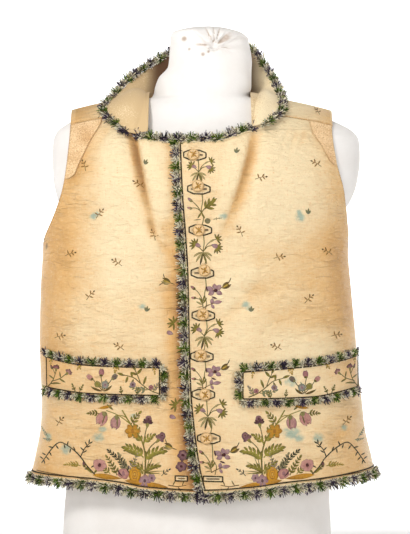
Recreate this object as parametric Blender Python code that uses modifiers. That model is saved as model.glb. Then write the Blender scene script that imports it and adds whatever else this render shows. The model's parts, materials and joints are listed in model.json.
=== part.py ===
"""Embroidered silk waistcoat with a fringed stand collar, on a limbless dress form.

Every size is in millimetres and is turned into metres when a mesh is made.
+X is the wearer's left, -Y is the front, +Z is up. The origin is the middle of the form's flat base.
Left and right are the wearer's own.
"""

import math

import bmesh
import bpy
from mathutils import Vector

MM = 0.001

# ---------------------------------------------------------------- driving sizes

CLOTH = 1.2                 # silk and its interlining, as one wall
LINING = 1.0                # the collar's lining
PATCH = 1.0                 # the armhole facings
SEAM_GAP = 0.4              # between pieces that meet at a seam
SHOULDER_GAP = 0.8          # the same along the shoulder strips, where the cloth curves most
LYING_GAP = 0.8             # between a piece and the one it lies on
EDGE_GAP = 1.2              # between an edge and the trim that stands out from it
UNDERLAP = 42.0             # how far the right front runs in under the left front
UNDER_DROP = 2.0            # how far the right front lies inside the left front
FRINGE_REACH = 13.0         # how far the trim stands out from an edge
FRINGE_THICK = 3.0
TRIM_RISE = 1.0             # how far its outer face stands in front of the cloth's, past an edge
POCKET_FRINGE = 10.0        # the narrower trim round a pocket flap
BUTTON_RADIUS = 9.0
BUTTON_HEIGHT = 5.0

CHEST = 560.0               # above this height the body curves in to the shoulders
UNDERARM = 484.0
SHOULDER_ARC = 130.0        # millimetres of cloth for each radian of that curve
SIDE_SEAM = 96.0            # degrees round from the centre front
SHOULDER_RISE = 27.0        # how far the shoulder line climbs from its tip to the neck
RIGHT_TIP = (196.0, 682.0)  # the shoulder's outer tip: out from the centre, height
LEFT_TIP = (192.0, 681.0)
SEAM_FRONT = 52.0           # degrees up the shoulder's curve, where the front ends
SEAM_BACK = 106.0           # and where the back begins
SIDE_GAP = 0.35             # degrees between the front and the back at the side seam
COLLAR_LIFT = 1.7           # how far the collar's seam lies off the cloth
ROLL_SHAPE = 6.75           # scales the collar's roll curve to a height of 1
COLLAR_CLEAR = 2.0          # and its free edge, where it turns out over the shoulder
EDGE_INSET = 1.5            # the armhole facings' edge, in from the armhole

# The body of the waistcoat, level by level.
# height, right half width, left half width, front depth, back depth, squareness
GARMENT_SECTIONS = (
    (105, 265, 263, 145, 149, 2.30),
    (140, 256.5, 257, 143, 145, 2.30),
    (165, 251, 252, 141, 140, 2.30),
    (208, 243, 242, 138, 131, 2.30),
    (245, 241, 238, 136, 121, 2.30),
    (290, 243, 232.5, 135, 117, 2.30),
    (336, 244.5, 229, 134, 114, 2.30),
    (410, 243, 222, 133, 113, 2.25),
    (470, 240, 217.5, 132, 116, 2.15),
    (520, 239, 222, 131, 119, 2.05),
    (560, 240, 234, 130, 120, 2.00),
    (720, 240, 236, 130, 120, 2.00),
)

# Along the closed front: height, distance left of the centre line of the left front's edge
CENTRE_EDGE = (
    (105, 3), (118, 2), (154, -6), (199, -13), (267, -19.5), (340, -22), (439, -24),
    (489, -27), (557, -32), (627, -35), (660, -36),
)

# The front edge of each armhole: height, distance out from the centre line
RIGHT_ARMHOLE = (
    (484, 239), (495, 234.5), (512, 226), (530, 218), (560, 207.5), (580, 203.4), (615, 199),
    (648, 196.6), (682, 196),
)
LEFT_ARMHOLE = (
    (484, 217.6), (499, 217.2), (512, 215), (530, 212.5), (560, 208), (580, 203), (600, 197.6),
    (653, 191.5), (682, 192),
)
# How far the armhole's back edge stays outside its front edge: height, distance
ARMHOLE_BACK = ((484, 0), (530, 5), (580, 9), (640, 5), (700, 0))

# The neckline across each front: distance from the centre line, height
RIGHT_NECKLINE = ((-300, 640), (-101, 635), (-70, 630), (-35, 628), (20, 628))
LEFT_NECKLINE = ((-60, 628), (15, 629), (35, 633), (50, 638), (74, 646), (300, 652))

# The hem: distance from the centre line, height
HEM_FRONT = ((-260, 140), (-170, 137), (-125, 133), (-80, 126), (0, 122), (80, 127),
             (120, 132), (180, 137), (260, 147))
HEM_BACK = ((-260, 140), (-120, 137), (0, 135), (120, 139), (260, 147))

# The collar, section by section from the right front end round the back of the neck.
# side of the shoulder (-1 front, 0 on the ridge, 1 back), base x, base height,
# free edge x, y and height, and how far the collar rolls up between the two
COLLAR_SECTIONS = (
    (-1, -100, 640, -111, -96, 643.5, 1),
    (-1, -96, 651, -122, -86, 655.5, 3),
    (-1, -92, 664, -136, -72, 667, 5),
    (-1, -89, 678, -142, -54, 680.5, 7),
    (-1, -87, 691, -138, -36, 690, 8),
    (0, -86, 704, -129, -9, 701, 8),
    (1, -83, 699, -118, 18, 718, 7),
    (1, -72, 694, -100, 48, 737, 5),
    (1, -50, 690, -72, 77, 757, 4),
    (1, -22, 688, -36, 92, 777, 3),
    (1, 8, 687, 10, 96, 787, 3),
    (1, 38, 688, 48, 93, 785, 3),
    (1, 62, 690, 76, 82, 776, 4),
    (1, 78, 694, 94, 58, 749, 4),
    (1, 84, 699, 106, 30, 724, 5),
    (0, 85, 703, 110, -4, 705, 5),
    (-1, 80, 692, 112, -42, 690, 5),
    (-1, 76, 678, 110, -66, 677, 4),
    (-1, 74, 663, 98, -86, 664, 3),
    (-1, 74, 651, 86, -98, 653.5, 1),
)

# The main folds, as soft troughs (below zero) and ridges. Front or back, the fold's start,
# bend and end (x, height), its depth soon after it starts, and its half width
FOLDS = (
    ("front", (-101, 636), (-78, 556), (-50, 466), -9.0, 18),
    ("front", (-130, 640), (-112, 560), (-82, 480), 4.0, 20),
    ("front", (73, 643), (50, 556), (26, 476), -6.0, 18),
    ("front", (100, 640), (86, 560), (64, 490), 3.0, 20),
    ("front", (-196, 470), (-186, 340), (-206, 170), 4.0, 30),
    ("front", (176, 480), (170, 340), (190, 170), 3.0, 28),
    ("back", (-70, 650), (-84, 430), (-120, 140), 5.0, 30),
    ("back", (60, 650), (72, 430), (110, 140), 5.0, 30),
    ("back", (-6, 600), (-2, 400), (4, 140), -4.0, 34),
)

FOLD_ONSET = 8              # the higher, the sooner a fold is at its full depth

# The armhole facings' inner edges: height, distance out from the centre line
RIGHT_PATCH = ((577, 198), (584, 188.5), (598, 182.5), (620, 171), (634, 163), (656, 149),
               (690, 140))
LEFT_PATCH = ((597, 193), (604, 186), (615, 179.5), (627, 172.5), (642, 161), (655, 157),
              (690, 150))

# Pocket flaps. For each distance from the centre line: top height, bottom height
RIGHT_FLAP = ((-230, 318, 268), (-200, 311, 264), (-170, 307, 261), (-110, 305, 259.5),
              (-60, 304, 259))
LEFT_FLAP = ((55, 298, 254), (116, 302, 254.5), (163, 306, 256), (194, 311, 261),
             (226, 318, 267))

# Buttons, from the neck down: distance left of the centre line, height
BUTTONS = ((-13.7, 609), (-7.4, 564), (-6, 500), (2.3, 442), (0, 378.5), (-3, 319.5),
           (3, 263), (5, 200))

# The dress form, level by level: height, right and left extents, front and back extents,
# squareness
FORM_SECTIONS = (
    (0, 210, 193, 119, 106, 2.35),
    (46, 210, 192, 118, 106, 2.35),
    (117, 205.5, 189, 116, 106, 2.35),
    (180, 198, 184, 111, 103, 2.30),
    (250, 180, 168, 102, 98, 2.25),
    (330, 163, 152, 96, 92, 2.20),
    (420, 172, 160, 105, 96, 2.15),
    (480, 188, 178, 111, 101, 2.15),
    (515, 203, 198, 113, 103, 2.15),
    (545, 217, 221, 113, 103, 2.15),
    (575, 224, 232, 111, 101, 2.10),
    (610, 226, 236, 104, 95, 2.05),
    (635, 225, 235, 96, 87, 2.00),
    (650, 219, 225, 89, 81, 2.00),
    (661, 205, 206, 82, 75, 2.00),
    (668, 192, 190, 77, 71, 2.00),
    (676, 176, 172, 71, 65, 2.00),
    (684.8, 159, 156, 63, 58, 2.00),
    (690.8, 140, 137, 53, 51, 2.00),
    (694.8, 120, 117, 47, 46, 2.00),
    (697.6, 99, 96, 46, 45, 2.00),
    (699.5, 84, 82, 46, 45, 2.00),
    (706, 79, 77, 46, 46, 2.00),
    (716, 77, 76, 46, 46, 2.00),
    (731, 71, 75, 46, 46, 2.00),
    (748, 56, 74, 46, 46, 2.05),
    (772, 50, 71, 45, 46, 2.10),
    (790, 49.5, 67, 42, 44, 2.15),
    (799, 46, 57, 36, 38, 2.15),
    (804, 30, 40, 25, 26, 2.10),
    (807, 13, 25, 12, 14, 2.00),
)

# Mesh density
FRONT_PLACKET_COLUMNS = 6   # from the centre edge to the collar's end
FRONT_SIDE_COLUMNS = 12     # from there to the side seam
FRONT_ROWS = (16, 8, 5)     # hem to underarm, to the neckline, to the shoulder seam
BACK_COLUMNS = 18
BACK_ROWS = (16, 9)         # hem to underarm, to the shoulder seam
STRIP_ROWS = 7
STRIP_COLUMNS = 5
COLLAR_STEPS = 32
COLLAR_ROWS = 4
FACING_ROWS = 7
FACING_COLUMNS = 3
FLAP_ROWS = 2
FLAP_COLUMNS = 13
NECK_STEPS = (5, 8)
CENTRE_STEPS = 25
HEM_STEPS = 16
BUTTON_SIDES = 14
FORM_SIDES = 28

# Finishes: colour, roughness
SILK = ((0.86, 0.70, 0.47), 0.42)
BACK_CLOTH = ((0.83, 0.72, 0.55), 0.75)
COLLAR_LINING = ((0.88, 0.76, 0.56), 0.8)
FACING = ((0.78, 0.60, 0.40), 0.85)
TRIM = ((0.30, 0.29, 0.24), 0.85)
COTTON = ((0.90, 0.88, 0.87), 0.85)


# ---------------------------------------------------------------- tables and curves

def smooth_lookup(table, key):
    """Read a table at any key: a smooth curve runs through its rows, held level past its ends."""
    if key <= table[0][0]:
        return [float(value) for value in table[0][1:]]
    if key >= table[-1][0]:
        return [float(value) for value in table[-1][1:]]
    row = max(index for index in range(len(table) - 1) if table[index][0] <= key)
    low, high = table[row], table[row + 1]
    span = high[0] - low[0]
    part = (key - low[0]) / span
    values = []
    for column in range(1, len(low)):
        step = (high[column] - low[column]) / span
        slopes = []
        for index in (row, row + 1):
            if index in (0, len(table) - 1):
                slopes.append(step)
                continue
            before, here, after = table[index - 1:index + 2]
            rise_in = (here[column] - before[column]) / (here[0] - before[0])
            rise_out = (after[column] - here[column]) / (after[0] - here[0])
            even = rise_in * rise_out > 0
            slopes.append(2 * rise_in * rise_out / (rise_in + rise_out) if even else 0.0)
        cubic = 3 * part ** 2 - 2 * part ** 3
        ease = low[column] + (high[column] - low[column]) * cubic
        ease += span * slopes[0] * (part ** 3 - 2 * part ** 2 + part)
        ease += span * slopes[1] * (part ** 3 - part ** 2)
        values.append(ease)
    return values


def read(table, key):
    """The single value of a two-column table."""
    return smooth_lookup(table, key)[0]


def mix(start, end, part):
    return start + (end - start) * part


def steps(count):
    """Evenly spaced fractions from 0 to 1."""
    return [index / count for index in range(count + 1)]


# ---------------------------------------------------------------- the waistcoat's surface

def ridge_height(x):
    """Height of the shoulder line at a distance from the centre."""
    reach, tip = RIGHT_TIP if x < 0 else LEFT_TIP
    return tip + SHOULDER_RISE * (1 - (x / reach) ** 2)


def arc_of(x, height):
    """Distance up the cloth from chest level: below it in height, above it along the curve."""
    if height <= CHEST:
        return height - CHEST
    sine = min(1.0, (height - CHEST) / (ridge_height(x) - CHEST))
    return SHOULDER_ARC * math.asin(sine)


def arc_at_angle(degrees):
    return SHOULDER_ARC * math.radians(degrees)


def angle_of(x, height):
    """Angle round from the centre front, in degrees, of a point on the front half."""
    right, left, _front, _back, square = smooth_lookup(GARMENT_SECTIONS, height)
    half = right if x < 0 else left
    part = min(1.0, abs(x) / half)
    return math.copysign(math.degrees(math.asin(part ** (square / 2))), x)


def bare_point(angle, arc):
    """A point on the outer face before folds: angle round in degrees, distance up the cloth."""
    curve = max(0.0, arc) / SHOULDER_ARC
    level = CHEST + min(0.0, arc)
    right, left, front, back, square = smooth_lookup(GARMENT_SECTIONS, level)
    sine = math.sin(math.radians(angle))
    cosine = math.cos(math.radians(angle))
    half = right if sine < 0 else left
    x = math.copysign(half * abs(sine) ** (2 / square), sine)
    behind = (cosine < 0) != (math.cos(curve) < 0)
    depth = (back if behind else -front) * abs(cosine) ** (2 / square)
    y = depth * abs(math.cos(curve))
    rise = (ridge_height(x) - CHEST) * math.sin(curve)
    return Vector((x, y, level + rise))


def outward(angle, arc):
    """Direction straight out of the cloth."""
    turn = 0.5
    climb = 1.0
    across = bare_point(angle + turn, arc) - bare_point(angle - turn, arc)
    upward = bare_point(angle, arc + climb) - bare_point(angle, arc - climb)
    return across.cross(upward).normalized()


def bend_distance(point, start, bend, end):
    """Nearest distance from a point to a curve with one bend, and how far along it lies."""
    nearest = (1e9, 0.0)
    for part in steps(16):
        x = mix(mix(start[0], bend[0], part), mix(bend[0], end[0], part), part)
        z = mix(mix(start[1], bend[1], part), mix(bend[1], end[1], part), part)
        distance = math.hypot(point[0] - x, point[1] - z)
        nearest = min(nearest, (distance, part))
    return nearest


def fold_depth(point):
    """How far the folds push the cloth out at a point."""
    side = "front" if point.y < 0 else "back"
    push = 0.0
    for face, start, bend, end, depth, half_width in FOLDS:
        if face != side:
            continue
        distance, part = bend_distance((point.x, point.z), start, bend, end)
        swell = (1 - (1 - part) ** FOLD_ONSET) * (1 - part ** 2)
        push += depth * swell * math.exp(-(distance / half_width) ** 2)
    return push


def cloth_point(angle, arc, offset=0.0):
    """A point on the finished outer face, with its folds, moved out by an offset."""
    point = bare_point(angle, arc)
    return point + outward(angle, arc) * (fold_depth(point) + offset)


def front_point(x, height, offset=0.0):
    """A point on the front at a distance from the centre line and a height."""
    return cloth_point(angle_of(x, height), arc_of(x, height), offset)


def clear_of_cloth(point, gap):
    """Push a point straight out of the shoulder's curve until it is a gap away from it."""
    point = point.copy()
    for _pass in range(3):
        half = GARMENT_SECTIONS[-1][1] if point.x < 0 else GARMENT_SECTIONS[-1][2]
        depth = GARMENT_SECTIONS[-1][3] if point.y < 0 else GARMENT_SECTIONS[-1][4]
        depth *= math.sqrt(max(0.05, 1 - (point.x / half) ** 2))
        rise = ridge_height(point.x) - CHEST
        up = (point.z - CHEST) / rise
        out = point.y / depth
        slope = Vector((0, 2 * out / depth, 2 * up / rise))
        distance = (out ** 2 + up ** 2 - 1) / slope.length
        if distance < gap:
            point += slope.normalized() * (gap - distance)
    return point


# ---------------------------------------------------------------- mesh helpers

def finish(name, colour, roughness):
    material = bpy.data.materials.new(name)
    material.use_nodes = True
    shader = material.node_tree.nodes["Principled BSDF"]
    shader.inputs["Base Color"].default_value = (*colour, 1)
    shader.inputs["Roughness"].default_value = roughness
    return material


def add_piece(name, mesh, look):
    piece = bpy.data.objects.new(name, mesh)
    bpy.data.collections[COLLECTION].objects.link(piece)
    mesh.materials.append(finish(name, *look))
    return piece


def shell(name, rows, thickness, look, first_columns=None, flip=False, face=0.0):
    """A cloth wall from rows of points. Its outer face lies at a height over them: on them at 0.

    A row may begin further along than the first one: first_columns gives where.
    """
    mesh = bpy.data.meshes.new(name)
    build = bmesh.new()
    starts = first_columns or [0] * len(rows)
    grid = []
    for start, row in zip(starts, rows):
        verts = [build.verts.new(point * MM) for point in row]
        grid.append([None] * start + verts)
    for below, above in zip(grid, grid[1:]):
        for column in range(len(below) - 1):
            corners = (below[column], below[column + 1], above[column + 1], above[column])
            if None in corners:
                continue
            build.faces.new(reversed(corners) if flip else corners)
    loose = [vert for vert in build.verts if not vert.link_faces]
    bmesh.ops.delete(build, geom=loose, context="VERTS")
    build.to_mesh(mesh)
    build.free()
    piece = add_piece(name, mesh, look)
    wall = piece.modifiers.new("Wall", "SOLIDIFY")
    wall.thickness = thickness * MM
    wall.offset = 2 * face / thickness - 1
    return piece


def loft(name, rings, look):
    """A closed body through rings of equal count, with a flat face at each end."""
    mesh = bpy.data.meshes.new(name)
    build = bmesh.new()
    grid = [[build.verts.new(point * MM) for point in ring] for ring in rings]
    sides = len(grid[0])
    for below, above in zip(grid, grid[1:]):
        for index in range(sides):
            after = (index + 1) % sides
            build.faces.new((below[index], below[after], above[after], above[index]))
    build.faces.new(reversed(grid[0]))
    build.faces.new(grid[-1])
    bmesh.ops.recalc_face_normals(build, faces=build.faces)
    build.to_mesh(mesh)
    build.free()
    return add_piece(name, mesh, look)


# ---------------------------------------------------------------- fronts and back

def outer_angle(side, height, at_back=False):
    """Angle of a panel's outer edge: the side seam, then the armhole."""
    if height <= UNDERARM:
        return SIDE_SEAM
    table = RIGHT_ARMHOLE if side < 0 else LEFT_ARMHOLE
    x = read(table, height)
    if at_back:
        x += read(ARMHOLE_BACK, height)
    angle = abs(angle_of(side * x, height))
    return 180 - angle if at_back else angle


def collar_bases():
    """The collar's seam, a row for each collar section: distance from the centre, arc."""
    ridge = arc_at_angle(90)
    bases = []
    for side, x, height, *_edge in COLLAR_SECTIONS:
        arc = ridge if side == 0 else arc_of(x, height)
        bases.append((x, 2 * ridge - arc if side > 0 else arc))
    return bases


def neck_edge(side):
    """The collar's seam on one side of the neck: arc, distance out from the centre line."""
    return sorted((arc, abs(x)) for x, arc in collar_bases() if x * side > 50)


def neck_back(x):
    """Height of the back's top edge at the neck."""
    rows = [(row[1], row[2]) for row in COLLAR_SECTIONS if row[0] > 0]
    return read(rows, x)


def collar_end(side):
    """Distance out from the centre line of the collar's front end."""
    return neck_edge(side)[0][1]


def neckline_height(side, x):
    return read(RIGHT_NECKLINE if side < 0 else LEFT_NECKLINE, x)


def shoulder_tip_angle(side):
    reach = RIGHT_TIP[0] if side < 0 else LEFT_TIP[0]
    return angle_of(side * reach, CHEST + 1)


def under_drop(x):
    """How far the right front lies inside the closed surface: most where the left covers it."""
    part = min(1.0, max(0.0, (x + 130) / 60))
    return -UNDER_DROP * (3 * part ** 2 - 2 * part ** 3)


def height_at(x, arc):
    """Height of the cloth at a distance from the centre line, some way up its arc."""
    if arc < 0:
        return CHEST + arc
    return CHEST + (ridge_height(x) - CHEST) * math.sin(arc / SHOULDER_ARC)


def edge_on_row(start_x, arc_at, edge_at):
    """Where a panel's edge crosses a row whose arc varies with x."""
    x = start_x
    for _pass in range(4):
        x = edge_at(height_at(x, arc_at(x)))
    return x


def armhole_edge(side, height):
    return side * read(RIGHT_ARMHOLE if side < 0 else LEFT_ARMHOLE, height)


def front_columns(side, arc_at, above_neck):
    """Angles of one row of a front, from its inner edge to its outer edge."""
    underlap = UNDERLAP if side < 0 else 0.0
    inner = edge_on_row(0.0, arc_at, lambda height: read(CENTRE_EDGE, height) + underlap)
    middle = side * collar_end(side)
    if above_neck:
        middle = side * read(neck_edge(side), arc_at(middle))
    outer = edge_on_row(side * 200, arc_at, lambda height: armhole_edge(side, height))
    height = height_at(outer, arc_at(outer))
    start = angle_of(inner, height_at(inner, arc_at(inner)))
    turn = angle_of(middle, height_at(middle, arc_at(middle)))
    end = side * outer_angle(side, height)
    placket = [mix(start, turn, part) for part in steps(FRONT_PLACKET_COLUMNS)]
    flank = [mix(turn, end, part) for part in steps(FRONT_SIDE_COLUMNS)]
    return placket + flank[1:]


def front_rows(side):
    """Rows of points over one front, and the column that each row starts at."""

    def hem(x):
        return read(HEM_FRONT, x) - CHEST

    def underarm(_x):
        return UNDERARM - CHEST

    def neck(x):
        return arc_of(x, neckline_height(side, x))

    def seam(_x):
        return arc_at_angle(SEAM_FRONT)

    rows = []
    starts = []
    bands = ((hem, underarm), (underarm, neck), (neck, seam))
    for band, (low, high) in enumerate(bands):
        start = FRONT_PLACKET_COLUMNS if band == 2 else 0
        for part in steps(FRONT_ROWS[band])[(1 if band else 0):]:

            def arc_at(x, low=low, high=high, part=part):
                return mix(low(x), high(x), part)

            row = []
            for angle in front_columns(side, arc_at, band == 2)[start:]:
                x = bare_point(angle, arc_at(side * 100)).x
                drop = under_drop(x) if side < 0 else 0.0
                row.append(cloth_point(angle, arc_at(x), drop))
            rows.append(row)
            starts.append(start)
    return rows, starts


def build_fronts():
    rows, starts = front_rows(-1)
    shell("front_right", rows, CLOTH, SILK, starts, flip=True)
    rows, starts = front_rows(1)
    shell("front_left", rows, CLOTH, SILK, starts)


def build_back():
    seam_arc = arc_at_angle(180 - SEAM_BACK)
    right_neck = -collar_end_at_ridge(-1)
    left_neck = collar_end_at_ridge(1)

    def hem(x):
        return read(HEM_BACK, x) - CHEST

    def underarm(_x):
        return UNDERARM - CHEST

    def top(x):
        if right_neck < x < left_neck:
            return min(seam_arc, arc_of(x, neck_back(x)))
        return seam_arc

    def row_of(low, high, part):
        middle = mix(low(-150), high(-150), part)
        height = bare_point(angle_of(-150, CHEST), middle).z
        left = SIDE_SEAM + SIDE_GAP
        right = 360 - left
        if height > UNDERARM + 1:
            left = outer_angle(1, height, at_back=True)
            right = 360 - outer_angle(-1, height, at_back=True)
        if middle >= seam_arc - 0.1:
            left = 180 - shoulder_tip_angle(1)
            right = 180 - shoulder_tip_angle(-1)
        row = []
        for share in steps(BACK_COLUMNS):
            angle = mix(left, right, share)
            angle -= 360 if angle > 180 else 0
            x = bare_point(angle, middle).x
            row.append(cloth_point(angle, mix(low(x), high(x), part)))
        return row

    rows = [row_of(hem, underarm, part) for part in steps(BACK_ROWS[0])]
    rows += [row_of(underarm, top, part) for part in steps(BACK_ROWS[1])[1:]]
    shell("back", rows, CLOTH, BACK_CLOTH)


def collar_end_at_ridge(side):
    """Distance out from the centre line of the collar's seam on the shoulder line."""
    return read(neck_edge(side), arc_at_angle(90))


def build_shoulder_strips():
    """The narrow silk pieces that cross the shoulder line between the fronts and the back."""
    for side, name in ((-1, "shoulder_strip_right"), (1, "shoulder_strip_left")):
        low = arc_at_angle(SEAM_FRONT) + SHOULDER_GAP
        high = arc_at_angle(SEAM_BACK) - SHOULDER_GAP
        rows = []
        for part in steps(STRIP_ROWS):
            arc = mix(low, high, part)
            neck = angle_of(side * read(neck_edge(side), arc), CHEST + 1)
            tip = shoulder_tip_angle(side)
            rows.append([cloth_point(mix(neck, tip, share), arc) for share in steps(STRIP_COLUMNS)])
        shell(name, rows, CLOTH, SILK, flip=side < 0)


# ---------------------------------------------------------------- collar

def collar_section(place):
    """The collar's seam point and free edge at a place along it, counted in sections."""
    table = []
    for index, (row, base) in enumerate(zip(COLLAR_SECTIONS, collar_bases())):
        table.append((index, *base, *row[3:]))
    x, arc, edge_x, edge_y, edge_z, roll = smooth_lookup(table, place)
    base = cloth_point(angle_of(x, CHEST + 1), arc, COLLAR_LIFT)
    edge = clear_of_cloth(Vector((edge_x, edge_y, edge_z)), COLLAR_CLEAR)
    return base, edge, roll


def collar_lift(place):
    """Direction from the collar's silk side to its lining side."""
    last = len(COLLAR_SECTIONS) - 1
    here, edge, _roll = collar_section(place)
    before = collar_section(max(0.0, place - 0.3))[0]
    after = collar_section(min(last, place + 0.3))[0]
    return (after - before).cross(edge - here).normalized()


def collar_point(place, share):
    """A point on the collar's silk face: from its seam (0) to its free edge (1).

    Past 1 the point runs on beyond the free edge, by the share less one, in millimetres.
    """
    base, edge, roll = collar_section(place)
    if share > 1:
        tangent = edge - collar_point(place, 1 - 1 / COLLAR_ROWS)
        return clear_of_cloth(edge + tangent.normalized() * (share - 1), COLLAR_CLEAR)
    rise = roll * ROLL_SHAPE * share * (1 - share) ** 2
    point = base.lerp(edge, share) + collar_lift(place) * rise
    return clear_of_cloth(point, mix(COLLAR_LIFT, COLLAR_CLEAR, share))


def build_collar():
    """The silk collar, the lining over it and the trim round its free edge."""
    places = [part * (len(COLLAR_SECTIONS) - 1) for part in steps(COLLAR_STEPS)]
    rows = [[collar_point(place, share) for place in places] for share in steps(COLLAR_ROWS)]
    shell("collar_outer", rows, CLOTH, SILK, face=CLOTH)
    lining_face = CLOTH + SEAM_GAP + LINING
    shell("collar_lining", rows, LINING, COLLAR_LINING, face=lining_face)
    reaches = (1 + EDGE_GAP + SEAM_GAP, 1 + FRINGE_REACH)
    rows = [[collar_point(place, reach) for place in places] for reach in reaches]
    shell("fringe_collar", rows, FRINGE_THICK, TRIM, face=FRINGE_THICK)


# ---------------------------------------------------------------- pieces on the fronts

def on_front(side, x, height, offset):
    """A point lying on a front, an offset out from it."""
    drop = under_drop(x) if side < 0 else 0.0
    return front_point(x, height, offset + drop)


def faces_inward(rows):
    """Whether faces made from rows of points on a front would look in at the body."""
    across = rows[0][1] - rows[0][0]
    upward = rows[1][0] - rows[0][0]
    return across.cross(upward).y > 0


def patch_panel(name, side, rows, offset, thickness, look):
    """A piece lying on a front, from rows of (x, height)."""
    points = [[on_front(side, x, height, offset) for x, height in row] for row in rows]
    return shell(name, points, thickness, look, flip=faces_inward(points))


def build_armhole_facings():
    sides = ((-1, "armhole_facing_right", RIGHT_PATCH, RIGHT_ARMHOLE),
             (1, "armhole_facing_left", LEFT_PATCH, LEFT_ARMHOLE))
    for side, name, inner_edge, armhole in sides:
        low = arc_of(side * 190, inner_edge[0][0])
        high = arc_at_angle(SEAM_FRONT) - SEAM_GAP
        rows = []
        for part in steps(FACING_ROWS):
            arc = mix(low, high, part)
            row = []
            for share in steps(FACING_COLUMNS):
                height = bare_point(angle_of(side * 170, CHEST + 1), arc).z
                inner = read(inner_edge, height)
                outer = read(armhole, height) - EDGE_INSET
                row.append(cloth_point(angle_of(side * mix(inner, outer, share), CHEST + 1), arc,
                                       PATCH + LYING_GAP))
            rows.append(row)
        shell(name, rows, PATCH, FACING, flip=side < 0)


def flap_columns(table):
    """Distances from the centre line, evenly spaced round the body."""
    height = table[0][2]
    first, last = (angle_of(row[0], height) for row in (table[0], table[-1]))
    angles = [mix(first, last, part) for part in steps(FLAP_COLUMNS)]
    return [bare_point(angle, height - CHEST).x for angle in angles]


def build_pocket_flaps():
    sides = ((-1, "right", RIGHT_FLAP), (1, "left", LEFT_FLAP))
    for side, word, table in sides:
        columns = flap_columns(table)
        heights = [smooth_lookup(table, x) for x in columns]
        rows = []
        for part in steps(FLAP_ROWS):
            rows.append([(x, mix(low, high, part)) for x, (high, low) in zip(columns, heights)])
        patch_panel("pocket_flap_" + word, side, rows, CLOTH + LYING_GAP, CLOTH, SILK)
        inner, outer = pocket_fringe_path(side, columns, heights)
        patch_panel("fringe_pocket_" + word, side, [inner, outer],
                    FRINGE_THICK + LYING_GAP, FRINGE_THICK, TRIM)


def pocket_fringe_path(side, columns, heights):
    """Both edges of the trim along a flap's top, inner end and bottom."""
    near = EDGE_GAP
    far = POCKET_FRINGE
    flap = sorted(zip(columns, heights), key=lambda item: item[0] * side, reverse=True)
    end_x, (end_high, end_low) = flap[-1]
    edges = []
    for reach in (near, far):
        top = [(x, high + reach) for x, (high, _low) in flap[:-1]]
        bottom = [(x, low - reach) for x, (_high, low) in reversed(flap[:-1])]
        corner_x = end_x - side * reach
        middle = (end_high + end_low) / 2
        end = [(corner_x, end_high + reach), (corner_x, middle), (corner_x, end_low - reach)]
        edges.append(top + end + bottom)
    return edges


def trim_strip(name, side, rows, offset):
    """Trim standing out from an edge of a front, from two rows of (x, arc)."""
    points = []
    for row in rows:
        line = []
        for x, arc in row:
            drop = under_drop(x) if side < 0 else 0.0
            height = bare_point(angle_of(x, CHEST + 1), arc).z
            line.append(cloth_point(angle_of(x, height), arc, offset + drop))
        points.append(line)
    shell(name, points, FRINGE_THICK, TRIM, flip=faces_inward(points))


def build_edge_fringes():
    """The trim on the necklines, the closed front's edge and the hems."""
    centre_top = read(CENTRE_EDGE, CENTRE_EDGE[-2][0])
    necklines = ((-1, "fringe_neck_right", 5 - collar_end(-1), centre_top - 1, NECK_STEPS[0]),
                 (1, "fringe_neck_left", centre_top, collar_end(1) - 1, NECK_STEPS[1]))
    for side, name, first, last, count in necklines:
        columns = [mix(first, last, part) for part in steps(count)]
        rows = []
        for reach in (EDGE_GAP, FRINGE_REACH):
            rows.append([(x, arc_of(x, neckline_height(side, x)) + reach) for x in columns])
        trim_strip(name, side, rows, TRIM_RISE)

    low = read(HEM_FRONT, 0) + EDGE_GAP
    high = CENTRE_EDGE[-2][0]
    heights = [mix(low, high, part) for part in steps(CENTRE_STEPS)]
    rows = []
    for reach in (FRINGE_REACH, EDGE_GAP):
        rows.append([front_point(read(CENTRE_EDGE, height) - reach, height,
                                 FRINGE_THICK - UNDER_DROP + LYING_GAP) for height in heights])
    shell("fringe_centre_front", rows, FRINGE_THICK, TRIM, flip=faces_inward(rows))

    hem_edge = read(CENTRE_EDGE, HEM_FRONT[4][1])
    hems = ((-1, "fringe_hem_right", hem_edge - SEAM_GAP), (1, "fringe_hem_left", hem_edge))
    for side, name, first in hems:
        rows = []
        for reach in (FRINGE_REACH, EDGE_GAP):
            row = []
            for part in steps(HEM_STEPS):
                angle = mix(angle_of(first, UNDERARM), side * (SIDE_SEAM - SIDE_GAP), part)
                x = bare_point(angle, read(HEM_FRONT, 0) - CHEST).x
                drop = under_drop(x) if side < 0 else 0.0
                row.append(cloth_point(angle, read(HEM_FRONT, x) - CHEST - reach,
                                       TRIM_RISE + drop))
            rows.append(row)
        shell(name, rows, FRINGE_THICK, TRIM, flip=faces_inward(rows))


def build_buttons():
    """Domed cloth-covered buttons, each on the left front over its buttonhole."""
    radius = BUTTON_RADIUS * MM
    height = BUTTON_HEIGHT * MM
    profile = ((0, 1), (0.45, 0.94), (0.82, 0.70), (0.98, 0.34), (1.0, 0.14), (0.93, 0), (0, 0))
    mesh = bpy.data.meshes.new("button")
    points = [(out * radius, 0, up * height) for out, up in profile]
    mesh.from_pydata(points, [(index, index + 1) for index in range(len(points) - 1)], [])
    for number, (x, z) in enumerate(BUTTONS, start=1):
        copy = mesh.copy()
        button = add_piece(f"button_{number}", copy, SILK)
        turn = button.modifiers.new("Turned", "SCREW")
        turn.steps = BUTTON_SIDES
        turn.render_steps = BUTTON_SIDES
        turn.use_merge_vertices = True
        turn.merge_threshold = 0.0001
        outside = outward(angle_of(x, z), arc_of(x, z))
        button.location = front_point(x, z, SEAM_GAP) * MM
        button.rotation_euler = outside.to_track_quat("Z", "Y").to_euler()
    bpy.data.meshes.remove(mesh)


COLLECTION = "embroidered_waistcoat"


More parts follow.
